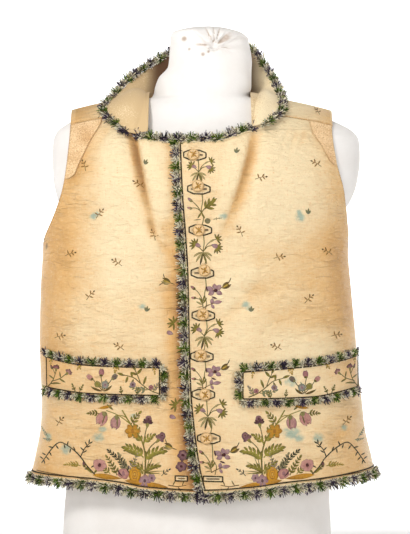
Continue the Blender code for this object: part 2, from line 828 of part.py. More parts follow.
def clear_scene():
    for item in list(bpy.data.objects):
        bpy.data.objects.remove(item)
    collection = bpy.data.collections.new(COLLECTION)
    bpy.context.scene.collection.children.link(collection)


def build_form():
    """The limbless dress form: neck, shoulder caps and hips, on a flat base."""
    rings = []
    heights = sorted({row[0] for row in FORM_SECTIONS} | {85, 150, 215, 290, 375, 450})
    for height in heights:
        right, left, front, back, square = smooth_lookup(FORM_SECTIONS, height)
        centre = (left - right) / 2
        half = (left + right) / 2
        ring = []
        for index in range(FORM_SIDES):
            turn = 2 * math.pi * index / FORM_SIDES
            sine = math.sin(turn)
            cosine = math.cos(turn)
            x = centre + math.copysign(half * abs(sine) ** (2 / square), sine)
            depth = front if cosine > 0 else back
            y = -math.copysign(depth * abs(cosine) ** (2 / square), cosine)
            ring.append(Vector((x, y, height)))
        rings.append(ring)
    loft("dress_form", rings, COTTON)


def main():
    clear_scene()
    build_form()
    build_fronts()
    build_back()
    build_shoulder_strips()
    build_collar()
    build_armhole_facings()
    build_pocket_flaps()
    build_edge_fringes()
    build_buttons()


if __name__ == "__main__":
    main()
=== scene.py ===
"""Embroidered silk waistcoat with fringe trim on a limbless dress form, built as an add-on.

Lengths in the tables are millimetres. +X is the wearer's left, -Y the front, +Z up.
"""

import json
import math
import random

import bmesh
import bpy
import numpy as np
from bpy.props import FloatProperty, FloatVectorProperty, IntProperty, PointerProperty
from bpy.types import Operator, Panel, PropertyGroup
from mathutils import Vector
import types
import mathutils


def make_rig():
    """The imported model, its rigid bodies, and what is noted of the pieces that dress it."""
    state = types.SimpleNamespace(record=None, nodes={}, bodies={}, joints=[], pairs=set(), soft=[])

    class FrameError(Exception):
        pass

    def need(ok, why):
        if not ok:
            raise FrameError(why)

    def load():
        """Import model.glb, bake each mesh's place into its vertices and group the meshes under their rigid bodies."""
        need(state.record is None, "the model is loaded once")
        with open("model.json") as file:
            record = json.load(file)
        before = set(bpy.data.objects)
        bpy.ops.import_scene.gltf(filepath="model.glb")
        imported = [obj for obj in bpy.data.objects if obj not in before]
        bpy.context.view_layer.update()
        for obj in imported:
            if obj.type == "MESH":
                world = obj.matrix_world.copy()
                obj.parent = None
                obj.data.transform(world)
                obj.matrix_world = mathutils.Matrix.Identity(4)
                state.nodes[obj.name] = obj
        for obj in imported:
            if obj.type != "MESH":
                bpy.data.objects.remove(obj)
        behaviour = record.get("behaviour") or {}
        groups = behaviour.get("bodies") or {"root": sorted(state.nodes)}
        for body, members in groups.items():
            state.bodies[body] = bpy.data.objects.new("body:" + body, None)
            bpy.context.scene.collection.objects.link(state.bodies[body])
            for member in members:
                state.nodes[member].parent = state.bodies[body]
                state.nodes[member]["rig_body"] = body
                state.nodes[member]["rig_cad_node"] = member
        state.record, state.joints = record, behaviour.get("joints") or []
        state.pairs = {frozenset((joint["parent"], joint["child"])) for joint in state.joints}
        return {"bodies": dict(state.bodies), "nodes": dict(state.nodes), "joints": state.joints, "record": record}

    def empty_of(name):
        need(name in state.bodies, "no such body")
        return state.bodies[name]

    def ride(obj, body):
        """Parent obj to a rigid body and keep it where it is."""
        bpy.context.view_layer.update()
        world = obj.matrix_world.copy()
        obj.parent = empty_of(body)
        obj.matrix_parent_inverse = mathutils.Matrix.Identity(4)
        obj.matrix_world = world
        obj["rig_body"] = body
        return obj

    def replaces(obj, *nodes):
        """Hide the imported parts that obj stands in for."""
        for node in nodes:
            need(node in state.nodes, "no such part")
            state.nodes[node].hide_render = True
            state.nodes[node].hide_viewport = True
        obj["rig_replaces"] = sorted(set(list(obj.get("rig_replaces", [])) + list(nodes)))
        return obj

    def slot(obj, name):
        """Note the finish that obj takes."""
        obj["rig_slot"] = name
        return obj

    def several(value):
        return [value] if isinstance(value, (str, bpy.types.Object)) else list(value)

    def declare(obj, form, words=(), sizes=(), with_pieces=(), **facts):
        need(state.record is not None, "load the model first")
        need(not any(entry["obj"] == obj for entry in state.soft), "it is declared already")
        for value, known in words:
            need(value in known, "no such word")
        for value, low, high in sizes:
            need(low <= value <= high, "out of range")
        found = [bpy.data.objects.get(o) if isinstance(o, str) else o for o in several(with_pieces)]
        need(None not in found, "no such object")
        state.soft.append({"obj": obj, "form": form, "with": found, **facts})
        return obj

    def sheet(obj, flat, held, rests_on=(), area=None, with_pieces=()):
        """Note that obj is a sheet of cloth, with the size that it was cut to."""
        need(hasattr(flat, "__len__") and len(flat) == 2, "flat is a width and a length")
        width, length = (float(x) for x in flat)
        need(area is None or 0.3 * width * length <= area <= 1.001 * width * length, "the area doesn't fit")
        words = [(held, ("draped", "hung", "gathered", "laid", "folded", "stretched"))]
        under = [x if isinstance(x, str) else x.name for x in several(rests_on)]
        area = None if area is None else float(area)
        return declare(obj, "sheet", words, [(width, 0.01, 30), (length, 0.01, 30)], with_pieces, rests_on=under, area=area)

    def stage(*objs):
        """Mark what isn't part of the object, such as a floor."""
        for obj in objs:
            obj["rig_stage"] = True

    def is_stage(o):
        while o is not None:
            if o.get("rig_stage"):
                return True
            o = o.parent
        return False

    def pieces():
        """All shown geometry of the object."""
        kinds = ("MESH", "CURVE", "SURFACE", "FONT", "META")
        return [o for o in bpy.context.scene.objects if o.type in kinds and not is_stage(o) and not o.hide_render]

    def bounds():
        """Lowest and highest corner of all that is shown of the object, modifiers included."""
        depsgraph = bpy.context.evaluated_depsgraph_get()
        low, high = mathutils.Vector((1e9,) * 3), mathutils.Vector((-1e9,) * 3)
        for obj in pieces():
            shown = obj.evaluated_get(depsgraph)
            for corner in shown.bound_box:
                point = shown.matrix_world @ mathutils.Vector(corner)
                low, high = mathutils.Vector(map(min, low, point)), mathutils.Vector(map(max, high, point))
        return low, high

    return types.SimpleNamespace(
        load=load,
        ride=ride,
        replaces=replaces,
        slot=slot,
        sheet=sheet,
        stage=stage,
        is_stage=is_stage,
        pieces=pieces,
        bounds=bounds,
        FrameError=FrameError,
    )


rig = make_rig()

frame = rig.load()
CAD_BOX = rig.bounds()

bl_info = {
    "name": "Embroidered waistcoat",
    "version": (1, 0, 0),
    "blender": (4, 5, 0),
    "location": "View3D > Sidebar > Waistcoat",
    "description": "Builds a fringed, embroidered silk waistcoat on its dress form",
    "category": "Add Mesh",
}

MM = 0.001
SIDES = ((-1, "right"), (1, "left"))


# ---------------------------------------------------------------- tables and curves

def table(text):
    """Rows of numbers, parted by line ends or semicolons."""
    return [tuple(map(float, row.split())) for row in text.strip().replace(";", "\n").split("\n")]


class Lookup:
    """A smooth curve through a table's rows, read at any keys and held level past its ends."""

    def __init__(self, rows):
        rows = np.array(rows, float)
        self.keys, self.values = rows[:, 0], rows[:, 1:]
        rise = np.diff(self.values, axis=0) / np.diff(self.keys)[:, None]
        before, after = rise[:-1], rise[1:]
        even = before * after > 0
        inner = np.where(even, 2 * before * after / np.where(even, before + after, 1), 0)
        self.slopes = np.concatenate([rise[:1], inner, rise[-1:]])

    def __call__(self, key):
        key = np.clip(np.asarray(key, float), self.keys[0], self.keys[-1])
        row = np.clip(np.searchsorted(self.keys, key, side="right") - 1, 0, len(self.keys) - 2)
        span = (self.keys[row + 1] - self.keys[row])[..., None]
        part = (key - self.keys[row])[..., None] / span
        low, high = self.values[row], self.values[row + 1]
        value = low + (high - low) * (3 * part ** 2 - 2 * part ** 3)
        value = value + span * self.slopes[row] * (part ** 3 - 2 * part ** 2 + part)
        value = value + span * self.slopes[row + 1] * (part ** 3 - part ** 2)
        return value[..., 0] if value.shape[-1] == 1 else value


def mix(start, end, part):
    return start + (end - start) * part


def clamp(value):
    return np.clip(value, 0.0, 1.0)


def soft(value):
    """A smooth step over 0 to 1."""
    value = clamp(value)
    return value * value * (3 - 2 * value)


def bump(distance, width):
    """1 at no distance, fading smoothly to nothing a few widths away."""
    return np.exp(-(distance / width) ** 2)


def unit(vectors):
    return vectors / np.maximum(np.linalg.norm(vectors, axis=-1, keepdims=True), 1e-9)


# ---------------------------------------------------------------- the cut, as in the solid model

CLOTH = 1.2
UNDERLAP = 42.0
UNDER_DROP = 2.0
CHEST = 560.0
UNDERARM = 484.0
SHOULDER_ARC = 130.0
SIDE_SEAM = 96.0
SHOULDER_RISE = 27.0
RIGHT_TIP = (196.0, 682.0)
LEFT_TIP = (192.0, 681.0)
SEAM_FRONT = 52.0
SEAM_BACK = 106.0
SIDE_GAP = 0.35
COLLAR_LIFT = 1.7
ROLL_SHAPE = 6.75
COLLAR_CLEAR = 2.0

# height, right half width, left half width, front depth, back depth, squareness
GARMENT_SECTIONS = table("""
105 265 263 145 149 2.3
140 256.5 257 143 145 2.3
165 251 252 141 140 2.3
208 243 242 138 131 2.3
245 241 238 136 121 2.3
290 243 232.5 135 117 2.3
336 244.5 229 134 114 2.3
410 243 222 133 113 2.25
470 240 217.5 132 116 2.15
520 239 222 131 119 2.05
560 240 234 130 120 2
720 240 236 130 120 2
""")
sections = Lookup(GARMENT_SECTIONS)
# height, distance left of the centre line
centre_edge = Lookup(table("""
105 3; 118 2; 154 -6; 199 -13; 267 -19.5; 340 -22; 439 -24; 489 -27; 557 -32; 627 -35; 660 -36
"""))
# height, distance out from the centre line
armhole = {-1: Lookup(table("""
484 239; 495 234.5; 512 226; 530 218; 560 207.5; 580 203.4; 615 199; 648 196.6; 682 196
""")), 1: Lookup(table("""
484 217.6; 499 217.2; 512 215; 530 212.5; 560 208; 580 203; 600 197.6; 653 191.5; 682 192
"""))}
armhole_back = Lookup(table("484 0; 530 5; 580 9; 640 5; 700 0"))
# distance from the centre line, height
neckline = {-1: Lookup(table("-300 640; -101 635; -70 630; -35 628; 20 628")),
            1: Lookup(table("-60 628; 15 629; 35 633; 50 638; 74 646; 300 652"))}
hem_front = Lookup(table("""
-260 140; -170 137; -125 133; -80 126; 0 122; 80 127; 120 132; 180 137; 260 147
"""))
hem_back = Lookup(table("-260 140; -120 137; 0 135; 120 139; 260 147"))
# side of the shoulder, base x, base height, free edge x, y and height, roll
COLLAR_SECTIONS = table("""
-1 -100 640 -111 -96 643.5 1
-1 -96 651 -122 -86 655.5 3
-1 -92 664 -136 -72 667 5
-1 -89 678 -142 -54 680.5 7
-1 -87 691 -138 -36 690 8
0 -86 704 -129 -9 701 8
1 -83 699 -118 18 718 7
1 -72 694 -100 48 737 5
1 -50 690 -72 77 757 4
1 -22 688 -36 92 777 3
1 8 687 10 96 787 3
1 38 688 48 93 785 3
1 62 690 76 82 776 4
1 78 694 94 58 749 4
1 84 699 106 30 724 5
0 85 703 110 -4 705 5
-1 80 692 112 -42 690 5
-1 76 678 110 -66 677 4
-1 74 663 98 -86 664 3
-1 74 651 86 -98 653.5 1
""")
COLLAR_LAST = len(COLLAR_SECTIONS) - 1
# the facings' inner edges: height, distance out from the centre line
FACINGS = {-1: table("577 198; 584 188.5; 598 182.5; 620 171; 634 163; 656 149; 690 140"),
           1: table("597 193; 604 186; 615 179.5; 627 172.5; 642 161; 655 157; 690 150")}
# distance from the centre line, top height, bottom height
FLAPS = {-1: table("""
-230 318 268; -200 311 264; -170 307 261; -110 305 259.5; -60 304 259
"""), 1: table("""
55 298 254; 116 302 254.5; 163 306 256; 194 311 261; 226 318 267
""")}
# distance left of the centre line, height
BUTTONS = table("""
-13.7 609; -7.4 564; -6 500; 2.3 442; 0 378.5; -3 319.5; 3 263; 5 200
""")
# height, right and left extents, front and back extents, squareness
FORM_SECTIONS = table("""
0 210 193 119 106 2.35
46 210 192 118 106 2.35
117 205.5 189 116 106 2.35
180 198 184 111 103 2.3
250 180 168 102 98 2.25
330 163 152 96 92 2.2
420 172 160 105 96 2.15
480 188 178 111 101 2.15
515 203 198 113 103 2.15
545 217 221 113 103 2.15
575 224 232 111 101 2.1
610 226 236 104 95 2.05
635 225 235 96 87 2
650 219 225 89 81 2
661 205 206 82 75 2
668 192 190 77 71 2
676 176 172 71 65 2
684.8 159 156 63 58 2
690.8 140 137 53 51 2
694.8 120 117 47 46 2
697.6 99 96 46 45 2
699.5 84 82 46 45 2
706 79 77 46 46 2
716 77 76 46 46 2
731 71 75 46 46 2
748 56 74 46 46 2.05
772 50 71 45 46 2.1
790 49.5 67 42 44 2.15
799 46 57 36 38 2.15
804 30 40 25 26 2.1
807 13 25 12 14 2
""")
FORM_TOP = 807
# how much slimmer the cover is drawn at the neck: height, right, left and front
NECK_SLIMMER = table("""
0 0 0 0; 640 0 0 0; 672 0 0 3; 684 0 0 2; 691 0 0 -3.5; 697 2 5 -7.5; 701 5 8.5 -7.5
716 5 3.5 -5; 740 5 1.5 -1.5; 757 2 0 0; 770 0 0 0; 807 0 0 0
""")

# Creases in the cloth, front and back: the start, bend and end (x, height), the depth (troughs
# below zero), and the half width on the left of the line's direction and on its right
FRONT_CREASES = table("""
-103 660 -89 570 -64 478 -11.5 3.4 14; -80 520 -68 482 -30 452 -4.6 3.4 7
-130 650 -122 560 -92 476 4 18 22; -84 650 -72 575 -50 496 4 18 6
-98 500 -84 472 -46 452 3.4 8 12; 75 655 63 562 16 470 -8.5 14 4; 58 650 50 562 6 486 3 6 16
104 650 88 560 60 484 3 20 20; -196 470 -186 340 -206 170 4 30 30
176 480 170 340 190 170 3 28 28; -47 520 -62 478 -38 462 -3.3 7 12
-60 500 -84 468 -54 446 2.7 9 9; 92 428 54 405 20 362 -3.6 15 5; 84 446 44 424 10 392 2.8 6 14
150 420 100 380 40 350 3.3 14 20; 62 396 40 384 20 352 -1.7 6 5; 96 470 62 452 26 428 -1.8 10 7
-62 420 -50 396 -34 352 -2.1 8 6; -40 452 -58 432 -66 400 1.5 8 8
-84 334 -128 338 -176 330 -2 5 4; -70 324 -116 326 -160 321 -1.5 4 3
-120 345 -156 350 -206 338 -1.4 5 4; -44 338 -60 330 -88 327 -1.8 5 4
76 326 116 328 150 322 -1.5 5 4; 60 318 96 321 140 316 -1.2 4 3
130 344 168 342 212 333 -1.2 5 4; 48 330 60 322 84 319 -1.5 5 4
-222 240 -180 224 -128 226 -2.1 7 5; -232 222 -196 204 -150 200 -1.8 6 5
-228 198 -190 178 -146 176 -1.5 6 5; 208 219 204 192 176 184 -2.7 6 5
184 170 166 164 150 168 -1.8 5 4; 226 236 190 222 150 228 -1.5 6 5
60 240 96 236 140 242 -1.4 6 5; -60 244 -96 238 -120 244 -1.4 6 5
-58 300 -46 280 -56 254 -2.1 5 7; 52 300 42 278 50 252 -2.4 7 5
-196 560 -182 600 -160 640 -1.8 8 8; 140 650 128 628 124 600 -2.7 5 5
152 650 142 632 140 610 -2.1 4 5; 128 652 116 632 112 606 -2 5 4
-134 652 -150 636 -160 612 -2.2 5 5; -214 470 -190 440 -184 380 -2.2 12 9
200 470 190 440 196 380 -2.1 10 12; -226 476 -206 480 -180 500 -2 7 6
208 474 190 480 164 502 -1.8 7 6; -192 219 -123 205 -88 190 -1.9 7 4
-228 206 -186 203 -162 188 -1.8 6 4; -206 337 -168 322 -132 328 1.5 6 4
-150 176 -120 160 -92 168 -1.4 5 4; -70 236 -58 204 -64 170 -1.5 6 5
176 191 202 203 205 221 -1.6 4 7; 140 194 158 186 176 182 -1.5 5 4
60 214 84 204 120 208 -1.4 5 4; -100 412 -134 396 -176 402 -1.1 6 5
96 372 132 362 176 368 -1.1 6 5; -112 540 -140 520 -166 530 -1 6 5
""")
BACK_CREASES = table("""
-70 650 -84 430 -120 140 5 30 30; 60 650 72 430 110 140 5 30 30; -6 600 -2 400 4 140 -4 34 34
-200 470 -150 420 -140 330 -1.8 12 9; 200 470 150 420 140 330 -1.8 9 12
-150 640 -110 600 -60 590 -1.4 9 7; 150 640 110 600 60 590 -1.4 7 9
-160 300 -60 286 30 300 -1.2 8 6; -30 340 60 326 150 342 -1 6 8
-215 505 -130 480 -76 384 2.8 9 15; 215 500 126 470 62 392 2.6 15 9
-196 436 -120 424 -64 352 1.9 7 11; 200 424 124 408 74 346 1.9 11 7
-168 322 -50 306 84 324 1.7 6 10; -66 356 44 342 168 360 1.5 6 10
-128 628 -84 596 -26 604 1.9 8 12; 132 632 92 600 40 606 1.7 8 12
-96 262 -104 200 -132 146 2.2 14 9; 58 268 70 210 96 146 2 9 14
""")
FOLD_ONSET = 8              # the higher, the sooner a crease is at its full depth
CREASE_STEPS = 12
CREASE_REACH = 3.2          # how many half widths out a crease is still felt


# ---------------------------------------------------------------- the cloth's surface

def ridge_height(x):
    x = np.asarray(x, float)
    reach = np.where(x < 0, RIGHT_TIP[0], LEFT_TIP[0])
    tip = np.where(x < 0, RIGHT_TIP[1], LEFT_TIP[1])
    return tip + SHOULDER_RISE * (1 - (x / reach) ** 2)


def arc_of(x, height):
    """Distance up the cloth from chest level."""
    height = np.asarray(height, float)
    sine = clamp((height - CHEST) / (ridge_height(x) - CHEST))
    return np.where(height <= CHEST, height - CHEST, SHOULDER_ARC * np.arcsin(sine))


def arc_at_angle(degrees):
    return SHOULDER_ARC * math.radians(degrees)


def angle_of(x, height):
    """Angle round from the centre front, in degrees, of a point on the front half."""
    x = np.asarray(x, float)
    right, left, _front, _back, square = np.moveaxis(sections(height), -1, 0)
    part = clamp(np.abs(x) / np.where(x < 0, right, left))
    return np.copysign(np.degrees(np.arcsin(part ** (square / 2))), x)


def bare(angle, arc):
    """Points on the outer face before creases."""
    angle, arc = np.broadcast_arrays(np.asarray(angle, float), np.asarray(arc, float))
    curve = np.maximum(arc, 0) / SHOULDER_ARC
    level = CHEST + np.minimum(arc, 0)
    right, left, front, back, square = np.moveaxis(sections(level), -1, 0)
    sine, cosine = np.sin(np.radians(angle)), np.cos(np.radians(angle))
    x = np.copysign(np.where(sine < 0, right, left) * np.abs(sine) ** (2 / square), sine)
    behind = (cosine < 0) != (np.cos(curve) < 0)
    y = np.where(behind, back, -front) * np.abs(cosine) ** (2 / square) * np.abs(np.cos(curve))
    return np.stack([x, y, level + (ridge_height(x) - CHEST) * np.sin(curve)], -1)


def outward(angle, arc):
    across = bare(np.add(angle, 0.5), arc) - bare(np.subtract(angle, 0.5), arc)
    upward = bare(angle, np.add(arc, 1)) - bare(angle, np.subtract(arc, 1))
    return unit(np.cross(across, upward))


def to_line(points, line):
    """Signed distance (left of the line is positive) and place along it, for points in a plane."""
    best = np.full(points.shape[:-1], 1e9)
    place = np.zeros(points.shape[:-1])
    for index, (here, after) in enumerate(zip(line, line[1:])):
        run = after - here
        share = clamp(((points - here) @ run) / (run @ run))
        off = points - here - share[..., None] * run
        distance = np.hypot(off[..., 0], off[..., 1])
        side = np.where(run[0] * off[..., 1] - run[1] * off[..., 0] < 0, -1.0, 1.0)
        nearer = distance < np.abs(best)
        best = np.where(nearer, distance * side, best)
        place = np.where(nearer, (index + share) / (len(line) - 1), place)
    return best, place


def crease_push(points):
    """How far the creases push the cloth out at each point."""
    push = np.zeros(points.shape[:-1])
    flat = points[..., [0, 2]]
    part = np.linspace(0, 1, CREASE_STEPS + 1)[:, None]
    for face, creases in ((points[..., 1] < 0, FRONT_CREASES), (points[..., 1] >= 0, BACK_CREASES)):
        for *line, depth, left, right in creases:
            start, bend, end = line = np.reshape(line, (3, 2))
            reach = CREASE_REACH * max(left, right)
            inside = (flat > line.min(0) - reach) & (flat < line.max(0) + reach)
            near = face & np.all(inside, axis=-1)
            if not near.any():
                continue
            curve = mix(mix(start, bend, part), mix(bend, end, part), part)
            distance, place = to_line(flat[near], curve)
            swell = (1 - (1 - place) ** FOLD_ONSET) * (1 - place ** 2)
            push[near] += depth * swell * bump(distance, np.where(distance > 0, left, right))
    return push


def cloth(angle, arc, offset=0.0):
    """Points on the finished outer face, moved out by an offset."""
    point = bare(angle, arc)
    push = crease_push(point) + offset
    return point + outward(angle, arc) * push[..., None]


def under_drop(x):
    """How far the right front lies inside the closed surface."""
    return -UNDER_DROP * soft((np.asarray(x, float) + 130) / 60)


def on_front(side, x, height, offset=0.0):
    """Points lying on a front at a distance from the centre line and a height."""
    drop = under_drop(x) if side < 0 else 0.0
    return cloth(angle_of(x, height), arc_of(x, height), np.add(offset, drop))


def clear_of_cloth(points, gap):
    """Push points straight out of the shoulder's curve until they are a gap away from it."""
    points = np.array(points, float)
    top = GARMENT_SECTIONS[-1]
    for _pass in range(3):
        x, y, z = np.moveaxis(points, -1, 0)
        half, depth = np.where(x < 0, top[1], top[2]), np.where(y < 0, top[3], top[4])
        depth = depth * np.sqrt(np.maximum(0.05, 1 - (x / half) ** 2))
        rise = ridge_height(x) - CHEST
        up, out = (z - CHEST) / rise, y / depth
        slope = np.stack([np.zeros_like(x), 2 * out / depth, 2 * up / rise], -1)
        length = np.linalg.norm(slope, axis=-1)
        short = np.maximum(np.subtract(gap, (out ** 2 + up ** 2 - 1) / length), 0)
        points = points + slope / length[..., None] * short[..., None]
    return points


# ---------------------------------------------------------------- where the panels lie

LINING = 1.0
PATCH = 1.0
SEAM_GAP = 0.4
SHOULDER_GAP = 0.8
LYING_GAP = 0.8
FRINGE_REACH = 13.0
FRINGE_THICK = 3.0
POCKET_FRINGE = 10.0
BUTTON_RADIUS = 9.0
BUTTON_HEIGHT = 5.0
EDGE_INSET = 1.5
FLAP_FACE = CLOTH + LYING_GAP
RIDGE = arc_at_angle(90)
FRONT_SEAM = arc_at_angle(SEAM_FRONT)

# Fine mesh density: columns over the placket and the flank, rows below and above the underarm
PLACKET_COLUMNS = 38
FLANK_COLUMNS = 104
FRONT_BANDS = (112, 46, 16)
BACK_COLUMNS = 110
BACK_BANDS = (84, 50)
# rows and columns of the smaller pieces
STRIP_GRID = (42, 44)
FACING_GRID = (60, 26)
FLAP_GRID = (26, 78)


def collar_bases():
    """The collar's seam: distance from the centre and arc, a row for each section."""
    rows = []
    for side, x, height, *_edge in COLLAR_SECTIONS:
        arc = RIDGE if side == 0 else float(arc_of(x, height))
        rows.append((x, 2 * RIDGE - arc if side > 0 else arc))
    return rows


def neck_edge(side):
    return sorted((arc, abs(x)) for x, arc in collar_bases() if x * side > 50)


neck_curve = {side: Lookup(neck_edge(side)) for side, _word in SIDES}
collar_end = {side: neck_edge(side)[0][1] for side, _word in SIDES}
neck_back = Lookup([(row[1], row[2]) for row in COLLAR_SECTIONS if row[0] > 0])


def shoulder_tip_angle(side):
    return float(angle_of(side * (RIGHT_TIP if side < 0 else LEFT_TIP)[0], CHEST + 1))


def height_at(x, arc):
    """Height of the cloth at a distance from the centre line, some way up its arc."""
    high = CHEST + (ridge_height(x) - CHEST) * np.sin(np.maximum(arc, 0) / SHOULDER_ARC)
    return np.where(np.asarray(arc) < 0, CHEST + np.asarray(arc), high)


def outer_angle(side, height, at_back=False):
    """Angle of a panel's outer edge: the side seam, then the armhole."""
    if height <= UNDERARM:
        return SIDE_SEAM
    x = float(armhole[side](height)) + (float(armhole_back(height)) if at_back else 0.0)
    angle = abs(float(angle_of(side * x, height)))
    return 180 - angle if at_back else angle


def edge_on_row(start_x, arc_at, edge_at):
    x = start_x
    for _pass in range(4):
        x = float(edge_at(height_at(x, arc_at(x))))
    return x


def front_grid(side):
    """Angles and arcs over one front. Above the neckline the placket's columns are missing."""

    def neck(x):
        return arc_of(x, neckline[side](x))

    levels = (lambda x: hem_front(x) - CHEST, lambda _x: UNDERARM - CHEST, neck,
              lambda _x: FRONT_SEAM)
    underlap = UNDERLAP if side < 0 else 0.0
    angles, arcs = [], []
    for band, (low, high) in enumerate(zip(levels, levels[1:])):
        for part in np.linspace(0, 1, FRONT_BANDS[band] + 1)[1 if band else 0:]:

            def arc_at(x, low=low, high=high, part=part):
                return mix(low(x), high(x), part)

            inner = edge_on_row(0.0, arc_at, lambda height: centre_edge(height) + underlap)
            middle = side * collar_end[side]
            if band == 2:
                middle = side * float(neck_curve[side](arc_at(middle)))
            outer = edge_on_row(side * 200, arc_at, lambda height: side * armhole[side](height))
            start, turn = (angle_of(x, height_at(x, arc_at(x))) for x in (inner, middle))
            end = side * outer_angle(side, float(height_at(outer, arc_at(outer))))
            row = np.concatenate([np.linspace(start, turn, PLACKET_COLUMNS + 1),
                                  np.linspace(turn, end, FLANK_COLUMNS + 1)[1:]])
            arcs.append(arc_at(bare(row, arc_at(side * 100))[:, 0]) * np.ones(len(row)))
            if band == 2:
                row[:PLACKET_COLUMNS] = np.nan
            angles.append(row)
    return np.array(angles), np.array(arcs)


def back_grid():
    """Angles and arcs over the back, from the left side seam round to the right one."""
    seam = arc_at_angle(180 - SEAM_BACK)
    right_neck, left_neck = (side * float(neck_curve[side](RIDGE)) for side in (-1, 1))

    def top(x):
        inside = (x > right_neck) & (x < left_neck)
        return np.where(inside, np.minimum(seam, arc_of(x, neck_back(x))), seam)

    levels = (lambda x: hem_back(x) - CHEST, lambda _x: UNDERARM - CHEST, top)
    angles, arcs = [], []
    for band, (low, high) in enumerate(zip(levels, levels[1:])):
        for part in np.linspace(0, 1, BACK_BANDS[band] + 1)[band:]:
            middle = float(mix(low(-150.0), high(np.float64(-150.0)), part))
            height = bare(angle_of(-150, CHEST), middle)[2]
            left = SIDE_SEAM + SIDE_GAP
            right = 360 - left
            if height > UNDERARM + 1:
                left = outer_angle(1, height, at_back=True)
                right = 360 - outer_angle(-1, height, at_back=True)
            if middle >= seam - 0.1:
                left, right = (180 - shoulder_tip_angle(side) for side in (1, -1))
            row = np.linspace(left, right, BACK_COLUMNS + 1)
            row = np.where(row > 180, row - 360, row)
            x = bare(row, middle)[:, 0]
            angles.append(row)
            arcs.append(mix(low(x), high(x), part) * np.ones(len(x)))
    return np.array(angles), np.array(arcs)


# ---------------------------------------------------------------- the collar's shape

collar_curve = Lookup([(index, *base, *row[3:])
                       for index, (row, base) in enumerate(zip(COLLAR_SECTIONS, collar_bases()))])


def collar_section(place):
    rows = np.atleast_2d(collar_curve(place))
    base = cloth(angle_of(rows[:, 0], CHEST + 1), rows[:, 1], COLLAR_LIFT)
    return base, clear_of_cloth(rows[:, 2:5], COLLAR_CLEAR), rows[:, 5:]


def collar_lift(place):
    """Direction from the collar's silk side to its lining side."""
    here, edge, _roll = collar_section(place)
    before = collar_section(np.maximum(0, place - 0.3))[0]
    after = collar_section(np.minimum(COLLAR_LAST, place + 0.3))[0]
    return unit(np.cross(after - before, edge - here))


def collar_points(place, share):
    """The collar's silk face from seam (0) to free edge (1), and past it in millimetres."""
    base, edge, roll = collar_section(place)
    if share > 1:
        tangent = unit(edge - collar_points(place, 0.75))
        return clear_of_cloth(edge + tangent * (share - 1), COLLAR_CLEAR)
    rise = roll * ROLL_SHAPE * share * (1 - share) ** 2
    point = mix(base, edge, share) + collar_lift(place) * rise
    return clear_of_cloth(point, mix(COLLAR_LIFT, COLLAR_CLEAR, share))


# ---------------------------------------------------------------- meshes

CORD_SIDES = 8
RUMPLE_WAVES = 12


def rumple(points, spacing, seed):
    """Soft unevenness between about -1 and 1: waves in random directions."""
    dice = np.random.default_rng(seed)
    total = np.zeros(points.shape[:-1])
    for _wave in range(RUMPLE_WAVES):
        direction = unit(dice.normal(size=3))
        length = spacing * dice.uniform(0.6, 1.9)
        total += np.sin(points @ direction * (2 * math.pi / length) + dice.uniform(0, 6.3))
    return total / 4


def linear(red, green, blue):
    """A colour written as 0 to 255, as the linear values that shaders use."""
    values = np.array((red, green, blue)) / 255
    values = np.where(values > 0.04045, ((values + 0.055) / 1.055) ** 2.4, values / 12.92)
    return (*map(float, values), 1.0)


def put_in_scene(name, data):
    """An object of its own for a mesh, a lamp or a camera."""
    thing = bpy.data.objects.new(name, data)
    bpy.context.scene.collection.objects.link(thing)
    return thing


def make_mesh(name, points, faces, uv=None, colours=None, materials=()):
    """An object from arrays in millimetres. UVs and colours are given point by point."""
    mesh = bpy.data.meshes.new(name)
    faces = np.asarray(faces, np.int32)
    mesh.vertices.add(len(points))
    mesh.vertices.foreach_set("co", (np.asarray(points) * MM).astype(np.float32).ravel())
    mesh.loops.add(faces.size)
    mesh.loops.foreach_set("vertex_index", faces.ravel())
    mesh.polygons.add(len(faces))
    starts = np.arange(0, faces.size, faces.shape[1], dtype=np.int32)
    mesh.polygons.foreach_set("loop_start", starts)
    mesh.update(calc_edges=True)
    if uv is not None:
        layer = mesh.uv_layers.new(name="Cloth")
        layer.data.foreach_set("uv", np.asarray(uv, np.float32)[faces.ravel()].ravel())
    for label, values in (colours or {}).items():
        layer = mesh.color_attributes.new(label, "FLOAT_COLOR", "POINT")
        rgba = np.ones((len(points), 4), np.float32)
        rgba[:, :np.shape(values)[1]] = values
        layer.data.foreach_set("color", rgba.ravel())
    mesh.polygons.foreach_set("use_smooth", [True] * len(faces))
    for material in materials:
        mesh.materials.append(material)
    mesh.validate()
    return put_in_scene(name, mesh)


def grid_faces(rows, columns, flip=False, closed=False):
    """Four-sided faces over a grid of points; closed joins its last column to its first."""
    index = np.arange(rows * columns).reshape(rows, columns)
    if closed:
        index = np.concatenate([index, index[:, :1]], axis=1)
    corners = [index[:-1, :-1], index[:-1, 1:], index[1:, 1:], index[1:, :-1]]
    if flip:
        corners.reverse()
    return np.stack(corners, -1).reshape(-1, 4)


def cloth_uv(points, along=None):
    """Metres along each row and up the cloth from its first column and row."""

    def lengths(axis):
        steps = np.nan_to_num(np.linalg.norm(np.diff(points, axis=axis), axis=-1))
        return np.insert(np.cumsum(steps, axis), 0, 0, axis)

    u, v = lengths(1), lengths(0)
    return np.stack([u, v if along is None else along], -1) * MM


